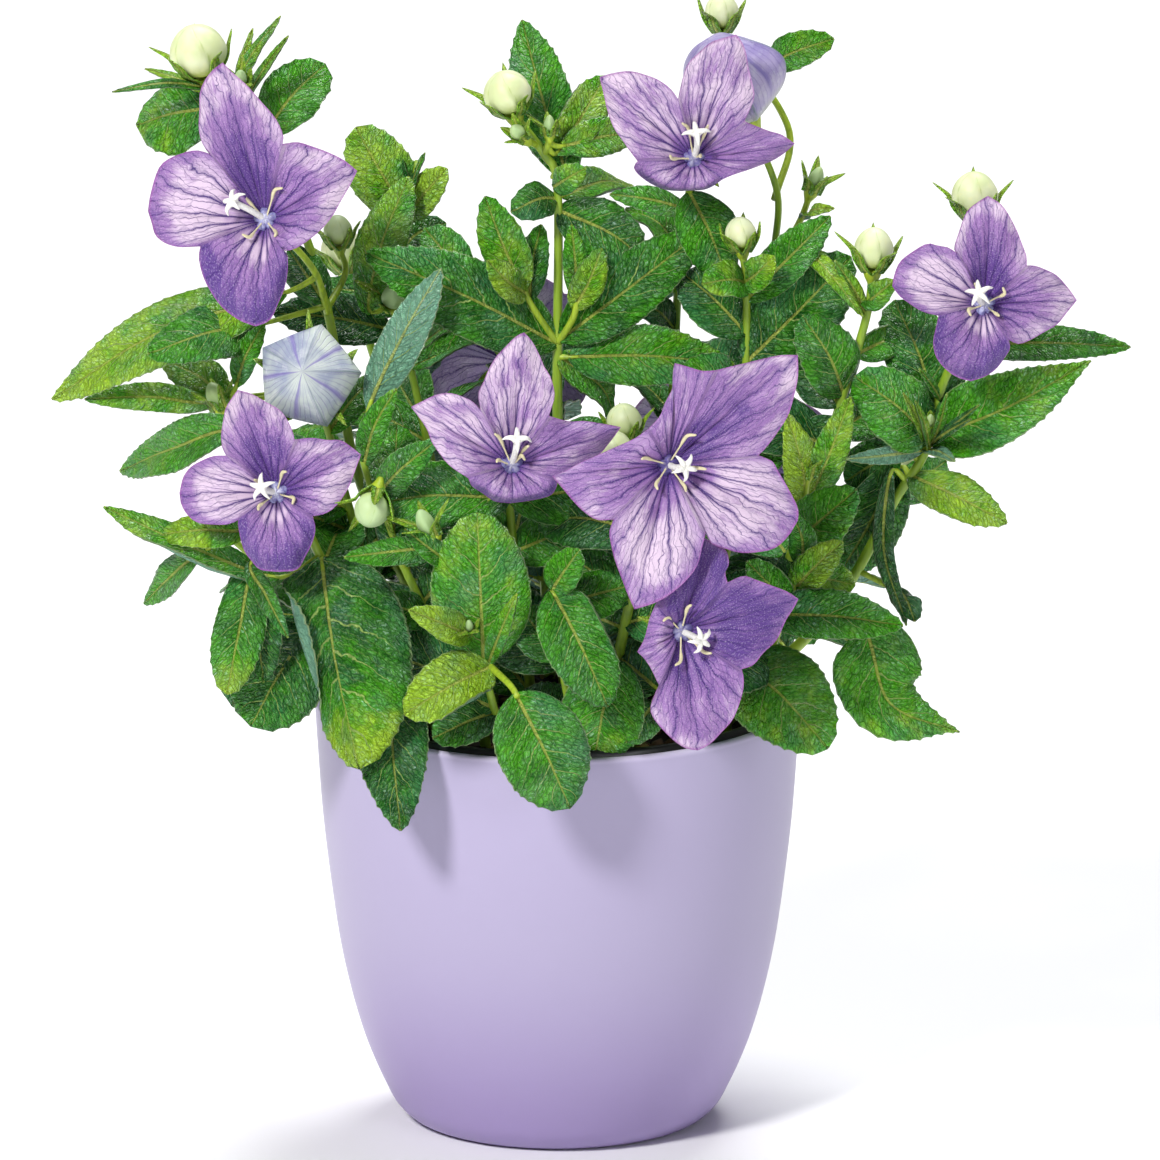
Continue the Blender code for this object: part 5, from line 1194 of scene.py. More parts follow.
grow_stem(
    "stem_right", 1, foot=(40, 6), radius=(1.6, 1.0), bloom="right",
    route=[(58, 115, 0), (72.5, 132, -8), (84, 153, -12), (92, 166, -12), (96, 182, -12)],
    shoots=[
        dict(route=[(96, 181, -12), (101, 200, 0), (104, 222, -2), (104, 224, -3)],
             bud=("bud_far_right", (0, -0.1, 1), 5.8, 11.5, 8, 40)),
        dict(route=[(92, 166, -12), (93, 170, -17), (93, 172, -18)], small=(1.4, 3)),
    ],
    leaves=[
        leaf(98, 191.5, 143, 191.5, 4, 9.5, 3, 0.8, 0.45),
        leaf(93, 168, 133, 188, -16, 19, 5, 0.8, 0.42, bend=-2, sharp=0.7),
        leaf(92, 168, 74, 184, -22, 18, 4, 0.9, 0.34), leaf(92, 165, 72, 163.5, -30, 4.5, 1, roll=180),
        leaf(92, 166, 99, 163, -30, 4, 1, roll=180),
        leaf(88, 160, 112, 147.5, -24, 12, 4, 0.85, 0.85, bend=-1.5),
        leaf(83, 160, 87, 122, -26, 5.5, 2, 0.7, 0.1, bend=-4.5),
        leaf(85, 161, 69, 133, 2, 16, 3, 0.85, 0.15), leaf(95, 178, 90, 186, -24, 3, 1),
        leaf(84, 153, 97, 163, 6, 10), leaf(94, 176, 84, 203, -2, 18, 3, 0.9, 0.3),
        leaf(93, 176, 97, 196, 0, 13, 2, 0.9, 0.2), leaf(86, 166, 72, 158, -4, 12, 2, 0.9, 0.1),
        leaf(84, 131, 89, 123, -27, 8, 2, 0.8, 0.1), leaf(92.5, 166, 86, 180, -32, 2.6, 1, tone=0.7),
        leaf(92.5, 166, 89, 178, -34, 2.6, 1, tone=0.6),
        leaf(93, 167, 105, 177, -34, 2.4, 1, tone=0.05),
        leaf(93, 167, 103, 173.5, -36, 2.2, 1, tone=0.05),
        leaf(93, 167, 97, 180, -33, 2.6, 1, tone=0.65),
    ])
grow_stem(
    "stem_right_low", 2, foot=(42, -16), radius=(1.5, 0.8),
    route=[(49, 106, -30), (54, 118, -38), (58, 130, -40), (62, 140, -36)],
    leaves=[
        leaf(53, 124.5, 86, 122, -46, 13, 4, 0.9, 0.3),
        leaf(75.5, 122, 100, 95.5, -38, 22, 5, 0.9, 0.42, sharp=1.2, bend=-9.5),
        leaf(44, 112.5, 67.3, 91.5, -62, 23, 6, 0.9, 0.42),
        leaf(58, 131, 71, 143, -42, 9, 2, 0.8, 0.62), leaf(57, 126, 47, 138, -48, 10, 2),
        leaf(62, 139, 58, 150, -40, 7, 2), leaf(58, 134, 74, 132, -40, 10, 2, 0.8, 0.6),
    ])


# Stems at the front
# Short stalks at the front rim, which hold the three flowers nearest to the viewer and the leaves
# that spill over the pot.

grow_stem(
    "stem_front_large", 0, foot=(12, -24), radius=(1.6, 1.0), bloom="front_large",
    route=[(14, 108, -36), (19, 132, -48), (25, 152, -58)],
    shoots=[
        dict(route=[(19, 134, -49), (19, 152, -42), (17, 169, -38)],
             bud=("bud_centre", (-0.1, -0.1, 1), 4.4, 8.5, 6, 35)),
        dict(route=[(19, 150, -43), (16, 159, -45), (15.5, 162, -46)],
             bud=("bud_centre_low", (-0.25, -0.2, 1), 4.3, 9, 5, 10)),
    ],
    leaves=[
        leaf(21, 140, 44, 152, -40, 14), leaf(18, 128, 2, 140, -44, 12),
        leaf(17, 122, 38, 128, -46, 14),
    ])
grow_stem(
    "stem_front_low", 1, foot=(20, -34), radius=(1.5, 1.0), bloom="front_low",
    route=[(24, 102, -48), (29, 112, -62)],
    leaves=[
        leaf(25, 104, 44, 106, -58, 13), leaf(24, 103, 17, 93, -58, 10, 2, 0.8, 0.15),
    ])
grow_stem(
    "stem_front_centre", 2, foot=(-6, -18), radius=(1.5, 1.0), bloom="front_centre",
    route=[(-8, 118, -30), (-11, 142, -40), (-12, 154, -45)],
    shoots=[
        dict(route=[(-9, 124, -33), (-21, 131, -50), (-30, 142, -57), (-31.5, 145, -58)],
             small=(2.7, 7)),
    ],
    leaves=[
        leaf(-10, 140, 11, 149, -46, 13), leaf(-11, 142, -27, 152, -46, 11),
        leaf(-30, 141, -53, 139, -62, 7, 2), leaf(-27, 137, -38, 146, -62, 6, 2),
        leaf(-9, 126, -24, 122, -40, 12),
    ])
grow_stem(
    "stem_front_left", 3, foot=(-14, -38), radius=(1.4, 0.8),
    route=[(-15, 98, -48), (-18, 110, -54), (-20, 118, -54)],
    shoots=[
        dict(route=[(-16, 113, -56), (-12, 107.5, -70), (-10, 104.5, -77)]),
        dict(route=[(-20, 117, -54), (-22, 120, -58), (-22, 121, -59)], small=(1.3, 3.5)),
    ],
    leaves=[
        leaf(-18, 114, -20, 150, -58, 24, 4, 0.95, 0.5, fold=6),
        leaf(-17, 111, -38, 100, -72, 15, 4, 0.9, 0.85, lap=-120),
        leaf(-22, 119, -37, 126, -72, 8.5, 2, 0.9, 0.78),
        leaf(-17, 113, -10, 130, -72, 5, 1, 0.9, 0.45), leaf(-10.5, 105, 3, 77, -80, 22, 6, 0.9, 0.36),
        leaf(-15, 102, -31, 106, -50, 11, 2), leaf(-14, 101, -31, 94, -56, 11, 2, 0.8, 0.1),
    ])
grow_stem(
    "stem_front_right", 4, foot=(4, -40), radius=(1.4, 0.8),
    route=[(3, 102, -50), (0, 118, -56), (-1, 131, -56)],
    leaves=[
        leaf(-1, 130, 12.5, 102, -72, 17, 5, 0.9, 0.35, lap=-110),
        leaf(-1, 131, 5.5, 141, -62, 9, 2, 0.9, 0.58), leaf(13, 112, 9, 88, -54, 20, 4, 0.8, 0.42),
        leaf(0, 114, -9, 126, -50, 12, 2), leaf(-1, 126, 18, 132, -48, 12),
        leaf(3, 103, 24, 108, -40, 12),
    ])


# Stems at the back
# Five stalks with leaves set round them by the golden angle, for the side that the photograph
# doesn't show. They carry two flowers and two buds like those at the front.

GOLDEN_TURN = 0.382
BACK_REACH = 84


def round_leaves(curve, count, turn, rng):
    """Leaves set round a stem by the golden angle, kept to the back and the sides."""
    rows = []
    ahead = 2 * curve[-1] - curve[1]
    outward = math.atan2(ahead[1], ahead[0])
    for k in range(count):
        share = 0.26 + 0.46 * (k + 0.5) / count
        root, _ = along(curve, share)
        angle = outward + math.radians(-70 + 140 * ((turn / 100 + GOLDEN_TURN * k) % 1.0))
        way = unit(np.array((math.cos(angle), math.sin(angle), 0.05 - 0.15 * (k % 2))))
        length = rng.uniform(32, 46) * (1.1 - 0.35 * share)
        if way[0] * root[0] > 0:
            room = (BACK_REACH - abs(root[0])) / max(abs(way[0]), 1e-6)
            length = min(length, max(room, 14))
        base, tip = root + way * 1.5, root + way * length
        rows.append(leaf(base[0], view_height(base), tip[0], view_height(tip), tip[1],
                         rng.uniform(12, 16), roll=rng.uniform(-12, 12), bow=rng.uniform(2, 6)))
    return rows


grow_stem(
    "stem_back_left", 17, foot=(-24, 26), radius=(1.6, 1.0), turn=60, leaves=6,
    route=[(-34, 40, 140), (-44, 52, 175), (-52, 58, 200)],
    ends=[("bud", "bud_back_left", (-53, 59, 203), (-0.2, 0.1, 1), 5.4, 10.5, 8, 22)])
grow_stem(
    "stem_back_centre", 18, foot=(-2, 34), radius=(1.6, 1.0), bloom="back_centre", turn=40, leaves=5,
    route=[(-4, 50, 135), (-9, 60, 165)])
grow_stem(
    "stem_back_right", 19, foot=(20, 34), radius=(1.6, 1.0), bloom="back_right", turn=50, leaves=5,
    route=[(28, 50, 128), (36, 58, 146)])
grow_stem(
    "stem_back_far_right", 20, foot=(38, 22), radius=(1.5, 0.9), turn=-30, leaves=5,
    route=[(58, 34, 126), (82, 44, 150)],
    ends=[("bud", "bud_back_right", (84, 45, 153), (0.25, 0.1, 1), 4.6, 9.5, 7, 22)])
grow_stem(
    "stem_back_far_left", 21, foot=(-38, 12), radius=(1.5, 0.8), turn=50, leaves=6,
    route=[(-58, 20, 122), (-84, 26, 144)])


# Buds and balloons
# Closed flowers: five petals still joined at their edges into a cream bud, which swells to a
# hollow violet-grey balloon before it opens. Each sits on its calyx cup.

BALLOON_VEIN = (0.17, 0.13, 0.40)
BALLOON_SEAM = (0.20, 0.26, 0.30)
BALLOON_FOOT = (0.40, 0.46, 0.26)
BALLOON_CREASE = (0.68, 0.70, 0.74)


def balloon_skin(name, pale, tinge):
    finish, tree, shader = finish_of(name, Roughness=0.42)
    place = on_object(tree)
    mark = split(carried(tree, "mark"))
    cloud = noise(place, 55.0, 3.0, 0.6)
    crease = noise(place, 320.0, 4.0, 0.65)
    waver = noise(place, 150.0, 2.0)
    lane = times_plus(waver, 0.1, mark["Z"])
    rib = maths("ABSOLUTE", maths("SUBTRACT", lane, 0.55))
    band = times(smooth_step(rib, 0.1, 0.01), smooth_step(mark["X"], 0.15, 0.5))
    fan = times_plus(waver, 1.4, times(mark["Z"], 9.0))
    thread = smooth_step(maths("PINGPONG", fan, 0.5), 0.13, 0.02)
    painted(shader, blend(smooth_step(cloud, 0.4, 0.62), pale, tinge),
            (smooth_step(mark["X"], 0.3, 0.02), BALLOON_FOOT),
            (smooth_step(crease, 0.5, 0.75, 0.0, 0.5), BALLOON_CREASE),
            (times(band, 0.75), BALLOON_VEIN),
            (times(thread, 0.35), BALLOON_VEIN),
            (smooth_step(mark["Y"], 0.07, 0.0, 0.0, 0.8), BALLOON_SEAM))
    relief = maths("SUBTRACT", crease, times(thread, 0.4))
    bumped(shader, relief, 0.5, 0.0006)
    return finish


balloon_skins = {
    "balloon_left": balloon_skin("pale balloon", (0.54, 0.60, 0.55), (0.28, 0.32, 0.43)),
    "balloon_right": balloon_skin("violet balloon", (0.45, 0.39, 0.60), (0.25, 0.20, 0.46)),
}
GREENER = {"bud_left_centre": 0.8, "bud_centre": 0.3, "bud_centre_low": 0.2, "bud_behind": 0.5}
for kind, label, place, axis, radius, length in CLOSED_BUDS:
    if kind == "balloon":
        *form, mark = bud_points(place, axis, radius * 1.04, length, point=0.75, columns=80, rows=40,
                                 lap=0, corners=1.0, spin=-0.26)
        closed = made_mesh("puffed_" + label, *form, [balloon_skins[label]], marks={"mark": mark})
    else:
        *form, mark = bud_points(place, axis, radius, length, point=0.25, columns=60, rows=26)
        grain = [(GREENER.get(label, 0.1), 0, 0)] * len(mark)
        closed = made_mesh("closed_" + label, *form, [bud_finish],
                           marks={"mark": mark, "grain": grain})
    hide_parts(label)
    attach(closed, "root")


# Open flowers
# Wide bells of four or five violet lobes in one piece, each about 60 mm across and thinner than
# paper at the edge. Dark veins run out from the throat, branch, and end in a fine net.

THROAT = 1.3
PETAL_DEEP = (0.085, 0.032, 0.270)
PETAL_MAIN = (0.275, 0.142, 0.385)
PETAL_PALE_SHEEN = (0.625, 0.490, 0.640)
PETAL_DARK_AND_SHADE = (0.080, 0.028, 0.215)
PETAL_EDGE = (0.300, 0.080, 0.340)
PETAL_UNDER = (0.340, 0.300, 0.560)
PETAL_SPECK = (0.800, 0.700, 0.860)
VEIN_INDIGO = (0.040, 0.010, 0.150)
STIGMA_WHITE = (0.84, 0.84, 0.80)
STAMEN_CREAM = (0.66, 0.58, 0.28)
DOME_BLUE = (0.34, 0.36, 0.64)
DOME_DARK = (0.06, 0.03, 0.20)
DOME_DUSK = (0.035, 0.015, 0.150)
DOME_MOTTLE = (0.09, 0.06, 0.30)
FUZZ_GREY = (0.42, 0.38, 0.40)
# Lobe shadings: each lobe's tone along its reach, from -1 dark to 1 pale. This is partly the petals'
# own colour and partly painted light: lobes that face the light are painted paler as a sheen highlight,
# and the feet of some lobes are painted darker as shade.
SHADE_REACH = (0.0, 0.12, 0.28, 0.5, 0.75, 0.9, 1.0)
SHADINGS = {
    "dark foot": (-1.0, -1.0, -1.0, -0.75, 0.1, 0.65, 0.75),
    "pale heart": (-0.3, 0.2, 0.7, 0.95, 1.05, 0.1, -0.45),
    "pale foot": (-0.4, 0.2, 0.9, 0.0, -0.6, -0.9, -1.0),
    "dusky foot": (-0.7, -0.6, -0.45, -0.05, 0.45, 0.6, 0.4),
    "even": (-0.6, -0.4, 0.0, 0.15, 0.0, 0.1, 0.2),
    "blotched": (-0.6, -0.2, 0.5, 0.6, 0.4, 0.75, 0.9),
    "rolled": (-0.7, -0.2, 0.4, 0.3, 0.1, -0.7, -0.9),
    "pale": (-0.8, -0.5, 0.2, 0.85, 0.9, 0.5, 0.1),
    "violet": (-1.0, -0.95, -0.7, -0.4, 0.0, 0.4, 0.5),
    "deep": (-0.9, -0.85, -0.8, -0.85, -0.9, -0.6, -0.3),
}
LOBE_ROLL = {"rolled": 2.4, "pale foot": 0.9}
STEPS_A_SIDE = 16
RINGS = 30

petal_veins, taken, given = group("Petal veins", "Reach Across Grain",
                                  "Main Halo Branches Net Streaks Cloud")
cloud = noise(taken["Grain"], 0.14, 3.0, 0.55)
sway = times_plus(cloud, 0.36, -0.18)
sway = times(sway, smooth_step(taken["Reach"], 0.1, 0.7))
lane = times(plus(taken["Across"], sway), 3.0)
left = maths("SUBTRACT", 1.0, taken["Reach"])
wide = times_plus(maths("POWER", left, 3.5), 0.36, 0.026)


def vein_at(lane, shift, wide):
    """1 on lines that stand a whole step apart, moved aside by a shift, fading to 0."""
    gap = maths("PINGPONG", plus(lane, shift), 0.5)
    return smooth_step(maths("DIVIDE", gap, wide), 1.0, 0.35)


def forked(lane, shift, wide):
    """The same lines moved to both sides, which leave the main vein as the shift grows."""
    return maths("MAXIMUM", vein_at(lane, shift, wide), vein_at(lane, times(shift, -1.0), wide))


link(vein_at(lane, 0.0, wide), given["Main"])
link(vein_at(lane, 0.0, times_plus(wide, 2.0, 0.08)), given["Halo"])
branch = forked(lane, smooth_step(taken["Reach"], 0.16, 0.60, 0.0, 0.33), times(wide, 0.62))
twig = forked(lane, smooth_step(taken["Reach"], 0.42, 0.86, 0.0, 0.165), times(wide, 0.5))
link(maths("MAXIMUM", branch, times(twig, 0.7)), given["Branches"])
bent = node(petal_veins, "ShaderNodeTexNoise", {"Vector": taken["Grain"], "Scale": 0.5})
spot = moved(taken["Grain"], stretched(bent.outputs["Color"], (2.4, 2.0, 0.0)))
spot = stretched(spot, (0.2, 0.7, 1.0))
lines = smooth_step(cells_of(spot, 1.0)["Distance"], 0.075, 0.015)
link(times(lines, smooth_step(taken["Reach"], 0.22, 0.5)), given["Net"])
link(cloud, given["Cloud"])
spot = stretched(taken["Grain"], (0.11, 1.25, 1.0))
link(noise(spot, 1.0, 3.0, 0.6), given["Streaks"])

petal_finish, tree, shader = finish_of("violet petal", Roughness=0.5, Specular_IOR_Level=0.35,
                                       Sheen_Weight=0.1, Sheen_Roughness=0.4)
mark = split(carried(tree, "mark"))
grain = carried(tree, "grain")
under = split(grain)["Z"]
veins = node(tree, "ShaderNodeGroup", {"Reach": mark["X"], "Across": mark["Y"], "Grain": grain},
             node_tree=petal_veins).outputs
tone = plus(mark["Z"], times_plus(veins["Cloud"], 2.3, -1.15))
tone = plus(tone, times_plus(veins["Streaks"], 1.3, -0.65))
middle = smooth_step(maths("ABSOLUTE", mark["Y"]), 1.25, 0.5)
# A high tone paints the lobe's middle paler, partly its own pale colour and partly a painted sheen
# highlight; a low tone paints shade in dark violet, which also darkens the halo round the main veins.
pale_and_sheen = times(smooth_step(tone, 0.0, 1.0), middle)
edge = smooth_step(mark["X"], 0.965, 1.0, 0.0, 0.7)
speck = noise(grain, 2.6, 3.0, 0.6)
painted(shader, blend(smooth_step(mark["X"], 0.0, 0.26), PETAL_DEEP, PETAL_MAIN),
        (pale_and_sheen, PETAL_PALE_SHEEN),
        (smooth_step(tone, 0.0, -1.0, 0.0, 0.95), PETAL_DARK_AND_SHADE),
        (times(under, 0.45), PETAL_UNDER),
        (times(veins["Halo"], 0.42), PETAL_DARK_AND_SHADE),
        (times(veins["Net"], 0.26), VEIN_INDIGO),
        (times(veins["Branches"], 0.74), VEIN_INDIGO),
        (times(veins["Main"], 0.88), VEIN_INDIGO),
        (edge, PETAL_EDGE),
        (smooth_step(speck, 0.5, 0.72, 0.0, 0.28), PETAL_SPECK))
relief = times_plus(veins["Branches"], -0.5, times(veins["Cloud"], 0.9))
relief = times_plus(veins["Main"], -0.8, relief)
relief = times_plus(veins["Net"], -0.35, relief)
relief = times_plus(speck, 0.5, relief)
bumped(shader, relief, 0.55, 0.0004)

heart_finish, tree, shader = finish_of("cream stigma and stamens", Roughness=0.55)
place = on_object(tree)
mark = split(carried(tree, "mark"))
fuzz = noise(place, 1500.0, 3.0)
mottle = smooth_step(noise(place, 700.0, 3.0, 0.7), 0.46, 0.56)
mottle = times(mottle, smooth_step(mark["Y"], 0.2, 0.3))
painted(shader, blend(mark["X"], STIGMA_WHITE, STAMEN_CREAM),
        (smooth_step(mark["Y"], 0.0, 0.5), DOME_BLUE),
        (smooth_step(mark["Y"], 0.5, 1.0), DOME_DARK),
        (mark["Z"], DOME_DUSK),
        (times(mottle, 0.6), DOME_MOTTLE),
        (smooth_step(fuzz, 0.45, 0.7, 0.0, 0.3), FUZZ_GREY))
bumped(shader, fuzz, 0.5, 0.0003)


def evened_count(points, steps):
    """A smooth line through the points, in a given number of equal steps."""
    line = spline(points, 4)
    reached = np.concatenate([[0], np.cumsum(np.linalg.norm(np.diff(line, axis=0), axis=1))])
    want = np.linspace(0, reached[-1], steps + 1)
    return np.column_stack([np.interp(want, reached, line[:, k]) for k in range(2)])


def on_plane(look, dx, dv):
    """A point of the flower's own plane, dx and dv from its middle as seen from the front."""
    if np.dot(look, VIEWER) > 0.5:
        flat = seen(dx, dv, 0.0)
        return flat - VIEWER * np.dot(flat, look) / np.dot(VIEWER, look)
    across = unit(np.cross(look, np.array((0, 0, 1.0))))
    return across * dx + np.cross(across, look) * dv


def add_flower(name, lobes, bell, curl, stigma, stamens, seed, dusk=0.0):
    """The bell of petals and its pistil and stamens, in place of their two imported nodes. A lobe is
    its shading, its outline up to the tip and from there to the next notch. The bell is so deep,
    its tips curl back so far, and a stigma is its place, number of arms and turn."""
    rng = np.random.default_rng(seed)
    throat, look = seen(*FLOWERS[name][0]), unit(np.array(FLOWERS[name][1], float))
    shades = [lobe[0] for lobe in lobes]
    edge = []
    for (_, rising, falling), following in zip(lobes, lobes[1:] + lobes[:1]):
        edge += list(evened_count([*rising, falling[0]], STEPS_A_SIDE))
        edge += list(evened_count([*falling, following[1][0]], STEPS_A_SIDE)[1:-1])
    columns = len(edge)
    per_lobe = 2 * STEPS_A_SIDE
    sides = np.tile(np.linspace(-1, 1, per_lobe + 1)[:-1], len(lobes))
    waves = rng.uniform(0, math.tau, (len(lobes), 3))
    lifts = rng.uniform(0.35, 1.0, len(lobes))
    grid, marks, grains = [], [], []
    for ring in range(RINGS + 1):
        share = (ring / RINGS) ** 0.9
        for c in range(columns):
            spot, side, lobe = edge[c], sides[c], c // per_lobe
            outer = 1 - abs(side) ** 1.6
            length = np.linalg.norm(spot)
            inner = spot / length * min(THROAT, 0.5 * length)
            dx, dv = inner + (spot - inner) * share
            rise = 0.8 + (bell - 0.8) * (1 - (1 - share) ** 2.2)
            rise -= curl * outer * max(share - 0.35, 0) ** 2 * 2.4
            rise -= LOBE_ROLL.get(shades[lobe], 0.0) * max(share - 0.80, 0) ** 1.3 * 20 * outer
            keel = math.exp(-(side / 0.09) ** 2) * 0.55
            pleat = math.exp(-((1 - abs(side)) / 0.12) ** 2) * 0.9
            ruffle = math.sin(side * 6.5 + waves[lobe][0]) * lifts[lobe]
            ruffle += 0.4 * math.sin(side * 13 + waves[lobe][1])
            rise += (pleat - keel) * math.sin(math.pi * share ** 0.8) * 0.9
            rise += ruffle * share ** 2.5 * 0.8 * (0.4 + 0.6 * outer)
            rise += 1.1 * math.sin(math.pi * abs(side)) * share * (1 - share) * 2
            grid.append(throat + on_plane(look, dx, dv) + look * rise)
            near = shades[(lobe + 1) % len(lobes)] if side > 0 else shades[lobe - 1]
            tone, other = [np.interp(share, SHADE_REACH, SHADINGS[s]) for s in (shades[lobe], near)]
            mixed = 0.5 * max(abs(side) - 0.8, 0) / 0.2
            marks.append((share, side, tone * (1 - mixed) + other * mixed))
            out = length * share
            grains.append((out + 40 * lobe + seed * 7, side * (2.2 + 0.62 * out)))
    grid, count, last = np.array(grid), len(grid), RINGS * columns
    faces = ring_faces(RINGS + 1, columns)[:-2]
    normals = np.zeros((count, 3))
    for quad in faces:
        normals[list(quad)] += np.cross(grid[quad[1]] - grid[quad[0]], grid[quad[3]] - grid[quad[0]])
    faces += [tuple(count + i for i in face[::-1]) for face in faces]
    for a in range(columns):
        b = (a + 1) % columns
        faces.append((last + b, last + a, count + last + a, count + last + b))
        faces.append((a, b, count + b, count + a))
    if np.dot(normals.sum(axis=0), look) < 0:
        normals = -normals
        faces = [face[::-1] for face in faces]
    normals /= np.maximum(np.linalg.norm(normals, axis=1)[:, None], 1e-9)
    thick = PETAL_THICK * (0.75 - 0.45 * np.array([m[0] for m in marks]) ** 3)[:, None] / 2
    points = np.vstack([grid + normals * thick, grid - normals * thick])
    petals = made_mesh("petals_" + name, points, faces, [petal_finish],
                       marks={"mark": marks + marks, "grain": both_sides(grains)})
    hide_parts("corolla_" + name)
    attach(petals, "root")
    add_heart(name, throat, look, bell, stigma, stamens, rng, dusk)


def add_heart(name, throat, look, depth, stigma, stamens, rng, dusk):
    """Domed nectary scales, the style with its curled star of arms, and the spent stamens."""
    foot = throat + look * (PETAL_THICK / 2 + CLEAR + 0.1)
    tip = throat + on_plane(look, *stigma[:2]) + look * (depth + 1)
    _, start, other = squared(look, (0.2, 0.1, 1.0))
    heap = Heap()
    points, marks, sides = [], [], 30
    for angle in np.linspace(0, math.pi / 2, 9):
        for turn in np.arange(sides) * math.tau / sides:
            scale = abs(math.cos(2.5 * turn)) ** 0.5
            wide = 3.3 * abs(math.cos(angle)) ** 0.8 * (0.72 + 0.28 * scale) + 0.05
            points.append(foot + spoke(start, other, turn) * wide
                          + look * (2.7 * math.sin(angle) * (0.86 + 0.14 * scale)))
            blue = 0.25 + 0.9 * abs(math.cos(angle)) ** 1.5 * (1.15 - 0.75 * scale)
            marks.append((0.0, blue, dusk))
    heap.add(points, ring_faces(9, sides), 0, marks)

    def rod(curve, radii, yellow, blue=0.0):
        before = len(heap.marks)
        add_tube(heap, curve, radii, 10, 0)
        heap.marks[before:] = [(yellow, blue, 0)] * (len(heap.marks) - before)

    base = foot + look * 1.0
    bend = start * rng.uniform(-0.5, 0.5) + other * rng.uniform(-0.5, 0.5)
    style = spline([base, (base + tip) / 2 + bend, tip], 8)
    rod(style, np.linspace(0.85, 0.75, len(style)), 0.12, 0.12)
    axis, first, second = squared(tip - foot, (0.2, 0.1, 1.0))
    for k in range(stigma[2]):
        out = spoke(first, second, math.tau * k / stigma[2] + stigma[3])
        arm = spline([tip - axis * 0.3, tip + out * 1.2 + axis * 0.75, tip + out * 2.6 + axis * 0.8,
                      tip + out * 3.7 + axis * rng.uniform(-0.7, 0.3)], 6)
        rod(arm, 0.12 + 0.90 * np.linspace(1.0, 0.0, len(arm)) ** 0.8, 0.05)
    for place in stamens:
        flat = on_plane(look, *place)
        end = throat + flat + look * (depth * 0.9 + 1)
        out = unit(flat)
        root = foot + look * 1.7 + out * 0.4
        sway = np.cross(look, out) * rng.uniform(-1.6, 1.6)
        line = spline([root, root + (end - root) * 0.4 + out * 0.7 + sway * 0.6,
                       root + (end - root) * 0.75 + out * 0.6 + sway, end], 6)
        share = np.linspace(0, 1, len(line))
        rod(line, 0.22 + 0.26 * np.clip((share - 0.35) * 6, 0, 1) - 0.25 * share ** 6, 0.8)
    heart = heap.made("heart_" + name, [heart_finish])
    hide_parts("centre_" + name)
    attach(heart, "root")


add_flower("upper_left", [
    ("dark foot", [(5, 18.5), (5, 21), (3, 25), (-1, 29.5), (-4.5, 33.5), (-8, 36.5)],
     [(-10.5, 39), (-13.5, 36.5), (-16, 32), (-16, 27), (-16, 22), (-15, 18.5)]),
    ("pale heart", [(-13, 16), (-16.5, 17), (-21, 16), (-25, 14), (-27, 11), (-28.5, 6)],
     [(-29, 2), (-28, -1), (-27, -4), (-24.5, -6), (-21, -7), (-18, -7)]),
    ("pale foot", [(-15.5, -7), (-16, -10), (-15, -14.5), (-13, -18.5), (-10.5, -22), (-6.5, -25)],
     [(-2.5, -26.5), (1, -25), (3, -21.5), (5, -17), (6, -12), (6, -9)]),
    ("dusky foot", [(5, -8), (6.5, -8), (9, -7), (13, -4), (16.5, 0), (19, 4.5), (21, 8)],
     [(23, 12), (20, 14.5), (16, 16.5), (12, 18), (8.5, 19)]),
], bell=8, curl=4, stigma=(-7, 4, 5, 0.3), stamens=[(5, 7.5), (-5, -4), (3, -4.5), (-4, 5)], seed=1)
add_flower("left", [
    ("dark foot", [(5, 13), (4.5, 15), (3, 18), (1, 20.5), (-2.5, 22.5), (-6, 24.5)],
     [(-9.5, 25.5), (-11, 23.5), (-12.5, 21), (-13, 18), (-13.5, 14), (-13, 11)]),
    ("pale heart", [(-12, 9), (-15, 9), (-18, 8), (-21, 6.5), (-23, 4)],
     [(-24, 0), (-23.5, -3), (-21.5, -6), (-19, -7.5), (-15, -8), (-11.5, -8)]),
    ("pale foot", [(-9, -7), (-9, -9), (-8, -14), (-6, -17), (-4, -19)],
     [(0.5, -19.5), (5, -19), (7, -16), (9, -12.5), (10, -9)]),
    ("dusky foot", [(9.5, -6), (12, -5.5), (15, -3.5), (18, 1), (19.5, 5)],
     [(21, 9.5), (18.5, 11.5), (16, 13), (13, 13), (9, 13.5)]),
], bell=7, curl=5, stigma=(-3, 1, 5, 0.0), stamens=[(3, 5), (-4, -4.5), (4.5, -3), (-5, 3)], seed=2)
add_flower("front_centre", [
    ("blotched", [(9, 12.5), (10, 15.5), (10.5, 18), (9.5, 22), (8, 24.5), (7, 27), (5.5, 30), (4, 32)],
     [(3, 33), (1, 32), (-1.5, 29.5), (-3.5, 27.5), (-5.5, 24.5), (-7, 21), (-8.5, 18)]),
    ("blotched", [(-8, 14), (-10, 16), (-12, 17), (-15.5, 18), (-19, 17.5), (-22, 16)],
     [(-25, 14.5), (-23, 12), (-21, 9), (-20, 6), (-18, 3), (-16, 0.5), (-13.5, -1.5)]),
    ("rolled", [(-11, -3), (-10, -5), (-7, -7), (-4, -9)],
     [(0, -9.5), (4, -9), (8, -8), (10, -7), (11, -5)]),
    ("even", [(11, -3), (13, -2), (16, -0.5), (19, 1), (21.5, 2.5), (24.5, 6)],
     [(27, 9.5), (24.5, 10), (21.5, 10.5), (18, 11), (14, 11)]),
], bell=8, curl=5, stigma=(1, 6.5, 4, 0.2),
   stamens=[(-4.5, 8), (-4, 1), (3, 1.5), (4, 5)], seed=3, dusk=0.45)
